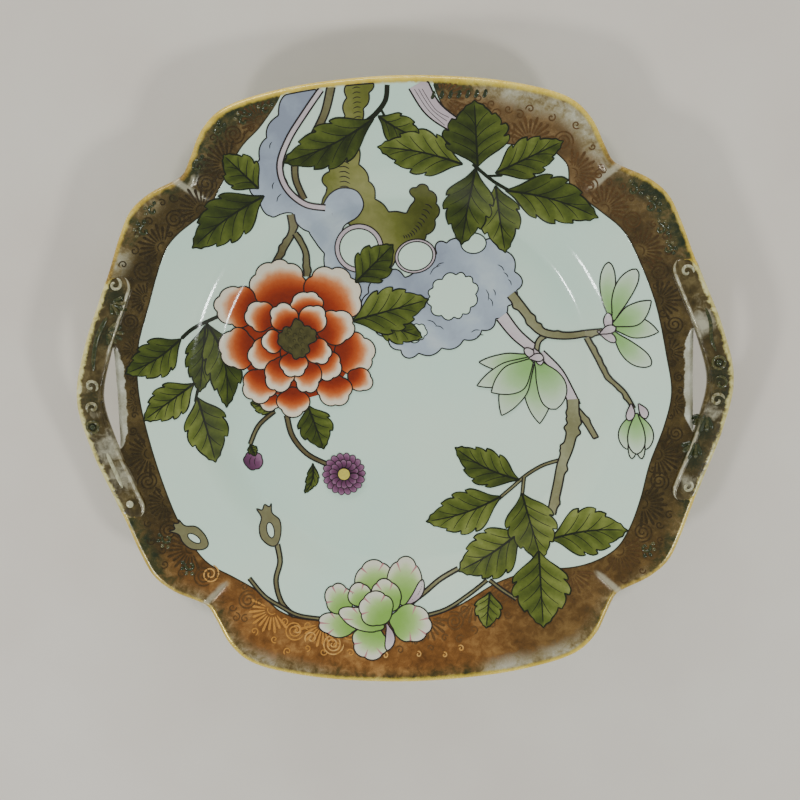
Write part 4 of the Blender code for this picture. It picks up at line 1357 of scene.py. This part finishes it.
def mould_relief():
    # the right handle
    roundel(127.5, 7.5, 3.2)
    curl(128.5, -1, 3.0, 1.3, 1, 0.5, tint=0.35)
    curl(127, -8, 3.0, 1.3, -1, 2.0, tint=0.6)
    ribs(123, -14, 8, -2.0, 5, 1.5, 0.22)
    ribs(118.5, -25, 8, -2.0, 5, 1.5, 0.22)
    curl(114.5, 45, 2.8, 1.2, -1, 1.0, tint=0.7)
    curl(115, -44, 2.4, 1.2, 1, 0.0, tint=0.7)
    raised([(122, 30), (124, 24), (124.5, 17), (126.5, 12)], 1.5, 0.6, 0.3)
    # the left handle
    curl(-115, 47, 2.8, 1.2, 1, 0.0, tint=0.7)
    ribs(-117, 40, 7, -0.6, 5, 1.9, 0.3)
    ribs(-119.5, 28, 7, -0.4, 6, 2.2, 0.3, 0.6)
    raised([(-119, 34), (-123.5, 26), (-125.5, 18), (-126, 12)], 2.0, 0.6, 0.3)
    curl(-127.5, 6, 2.8, 1.3, -1, 1.0, tint=0.65)
    curl(-127.5, -3, 2.6, 1.3, 1, 2.0, tint=0.6)
    roundel(-128, -11, 3.0)
    bead(-115, -44, 1.6, 0.8, 0.7)
    raised([(-123, -22), (-120.5, -29), (-117.5, -37)], 1.6, 0.5, 0.75)
    # round the rim, near the lip: a curl and a spray of drops at each
    for x, y, aim, size in (
            (-79, 93, 2.2, 4.5), (-98, 76, 2.4, 3.6), (-102, 68, 2.6, 4.2), (-70, 106, 1.9, 4), (-60,
                                                                                                 110,
                                                                                                 1.8, 4),
            (-51, 114, 1.7, 3.6), (93, 78, 0.7, 4.2), (100, 71, 0.7, 4.5), (104, 62, 0.6, 4), (107, 54,
                                                                                               0.5, 3.4),
            (98, -70, -0.6, 4), (-101, -60, -2.6, 4), (-92, -72, -2.5, 4)):
        curl(x, y, size * 0.55, 1.2, 1 if x > 0 else -1, aim, 1.2, 0.6, 0.30)
        for f in (-1.1, -0.4, 0.4, 1.1):
            if room(*polar(x, y, size * 1.1, aim + f)) > 0.3:
                raised([polar(x, y, size * q, aim + f) for q in (0.62, 0.85, 1.1)],
                       1.6, 0.6, 0.22 + 0.2 * (f > 0), (0.3, 0.4))
    for k in range(7):
        x = 14 + 3.4 * k
        raised([(x, 115.8), (x + 1.0, 117.4), (x + 1.2, 119.2)], 1.7, 0.45, 0.2, (0.3, 0.4))


make_dish(glaze_material())
make_foot(bare_material())
gilt_bar = handle_material()
make_handle("right_handle_bar", 1, "right_handle", gilt_bar)
make_handle("left_handle_bar", -1, "left_handle", gilt_bar)

paint_border()
paint_rocks()
paint_trunk()
paint_ribbons()
paint_branches()
paint_leaves(leaves, LEAVES)
paint_leaves(leaves_over, LEAVES_OVER)
paint_peony()
leaf(leaves_over, (-19, 43), (-3, 58), 15, 0.38, teeth=2)
paint_pale_peony()
paint_magnolias()
paint_purple()
mould_relief()
for painting in Painting.made:
    painting.finish()


# ---------------------------------------------------------------- floor, light and camera
def make_floor():
    far, level = 4000, -0.1
    corners = [(-far, -far, level), (far, -far, level), (far, far, level), (-far, far, level)]
    floor = new_object("floor", corners, [(0, 1, 2, 3)], smooth=False)
    s = Shade("pale_floor")
    colour = s.ramp(s.noise(60, 3), [(0.3, (226, 214, 204)), (0.7, (232, 222, 212))])
    floor.data.materials.append(s.finish(colour, 0.6, bump=s.noise(2)))


def area_light(name, place, size, power, colour):
    """A rectangular lamp that faces the dish. The place and size are metres."""
    data = bpy.data.lights.new(name, "AREA")
    data.shape = "RECTANGLE"
    data.size, data.size_y = size
    data.energy, data.color = power, colour
    lamp = bpy.data.objects.new(name, data)
    lamp.location = place
    lamp.rotation_euler = (Vector((0, 0, 0.01)) - Vector(place)).to_track_quat("-Z", "Y").to_euler()
    lamp.visible_camera = False
    bpy.context.scene.collection.objects.link(lamp)


def make_lights():
    world = bpy.data.worlds.new("studio")
    bpy.context.scene.world = world
    world.use_nodes = True
    tree = world.node_tree
    sky = tree.nodes["Background"]
    direction = tree.nodes.new("ShaderNodeTexCoord").outputs["Generated"]
    split = tree.nodes.new("ShaderNodeSeparateXYZ")
    ramp = tree.nodes.new("ShaderNodeValToRGB")
    stops = ((0.15, (0.92, 0.93, 0.90, 1)), (0.95, (0.40, 0.45, 0.45, 1)))
    for element, (place, colour) in zip(ramp.color_ramp.elements, stops):
        element.position, element.color = place, colour
    tree.links.new(direction, split.inputs[0])
    tree.links.new(split.outputs["Z"], ramp.inputs["Fac"])
    tree.links.new(ramp.outputs["Color"], sky.inputs["Color"])
    sky.inputs["Strength"].default_value = 0.90
    area_light("key", (-0.45, 1.95, 0.44), (1.8, 0.30), 26, (1.0, 0.97, 0.92))
    area_light("left", (-0.95, -0.85, 1.10), (0.20, 0.20), 9, (0.95, 1.0, 0.98))
    area_light("right", (1.00, -0.80, 1.15), (0.20, 0.20), 9, (0.95, 1.0, 0.98))


def make_camera():
    """Looks almost straight down from 0.6 m, a little towards the near side and turned a little."""
    turn, tilt, distance, target = math.radians(1.852), math.radians(10.588), 0.6, Vector((0, 0, 0.025))
    right = Vector((math.cos(turn), -math.sin(turn), 0))
    up = Vector((math.sin(turn) * math.cos(tilt), math.cos(turn) * math.cos(tilt), -math.sin(tilt)))
    back = right.cross(up)
    data = bpy.data.cameras.new("camera")
    data.sensor_width, data.lens = 36.0, 66.18
    data.shift_x, data.shift_y = -0.0062, -0.0128
    camera = bpy.data.objects.new("camera", data)
    facing = Matrix((right, up, back)).transposed().to_4x4()
    camera.matrix_world = Matrix.Translation(target + back * distance) @ facing
    bpy.context.scene.collection.objects.link(camera)
    bpy.context.scene.camera = camera


make_floor()
make_lights()
make_camera()
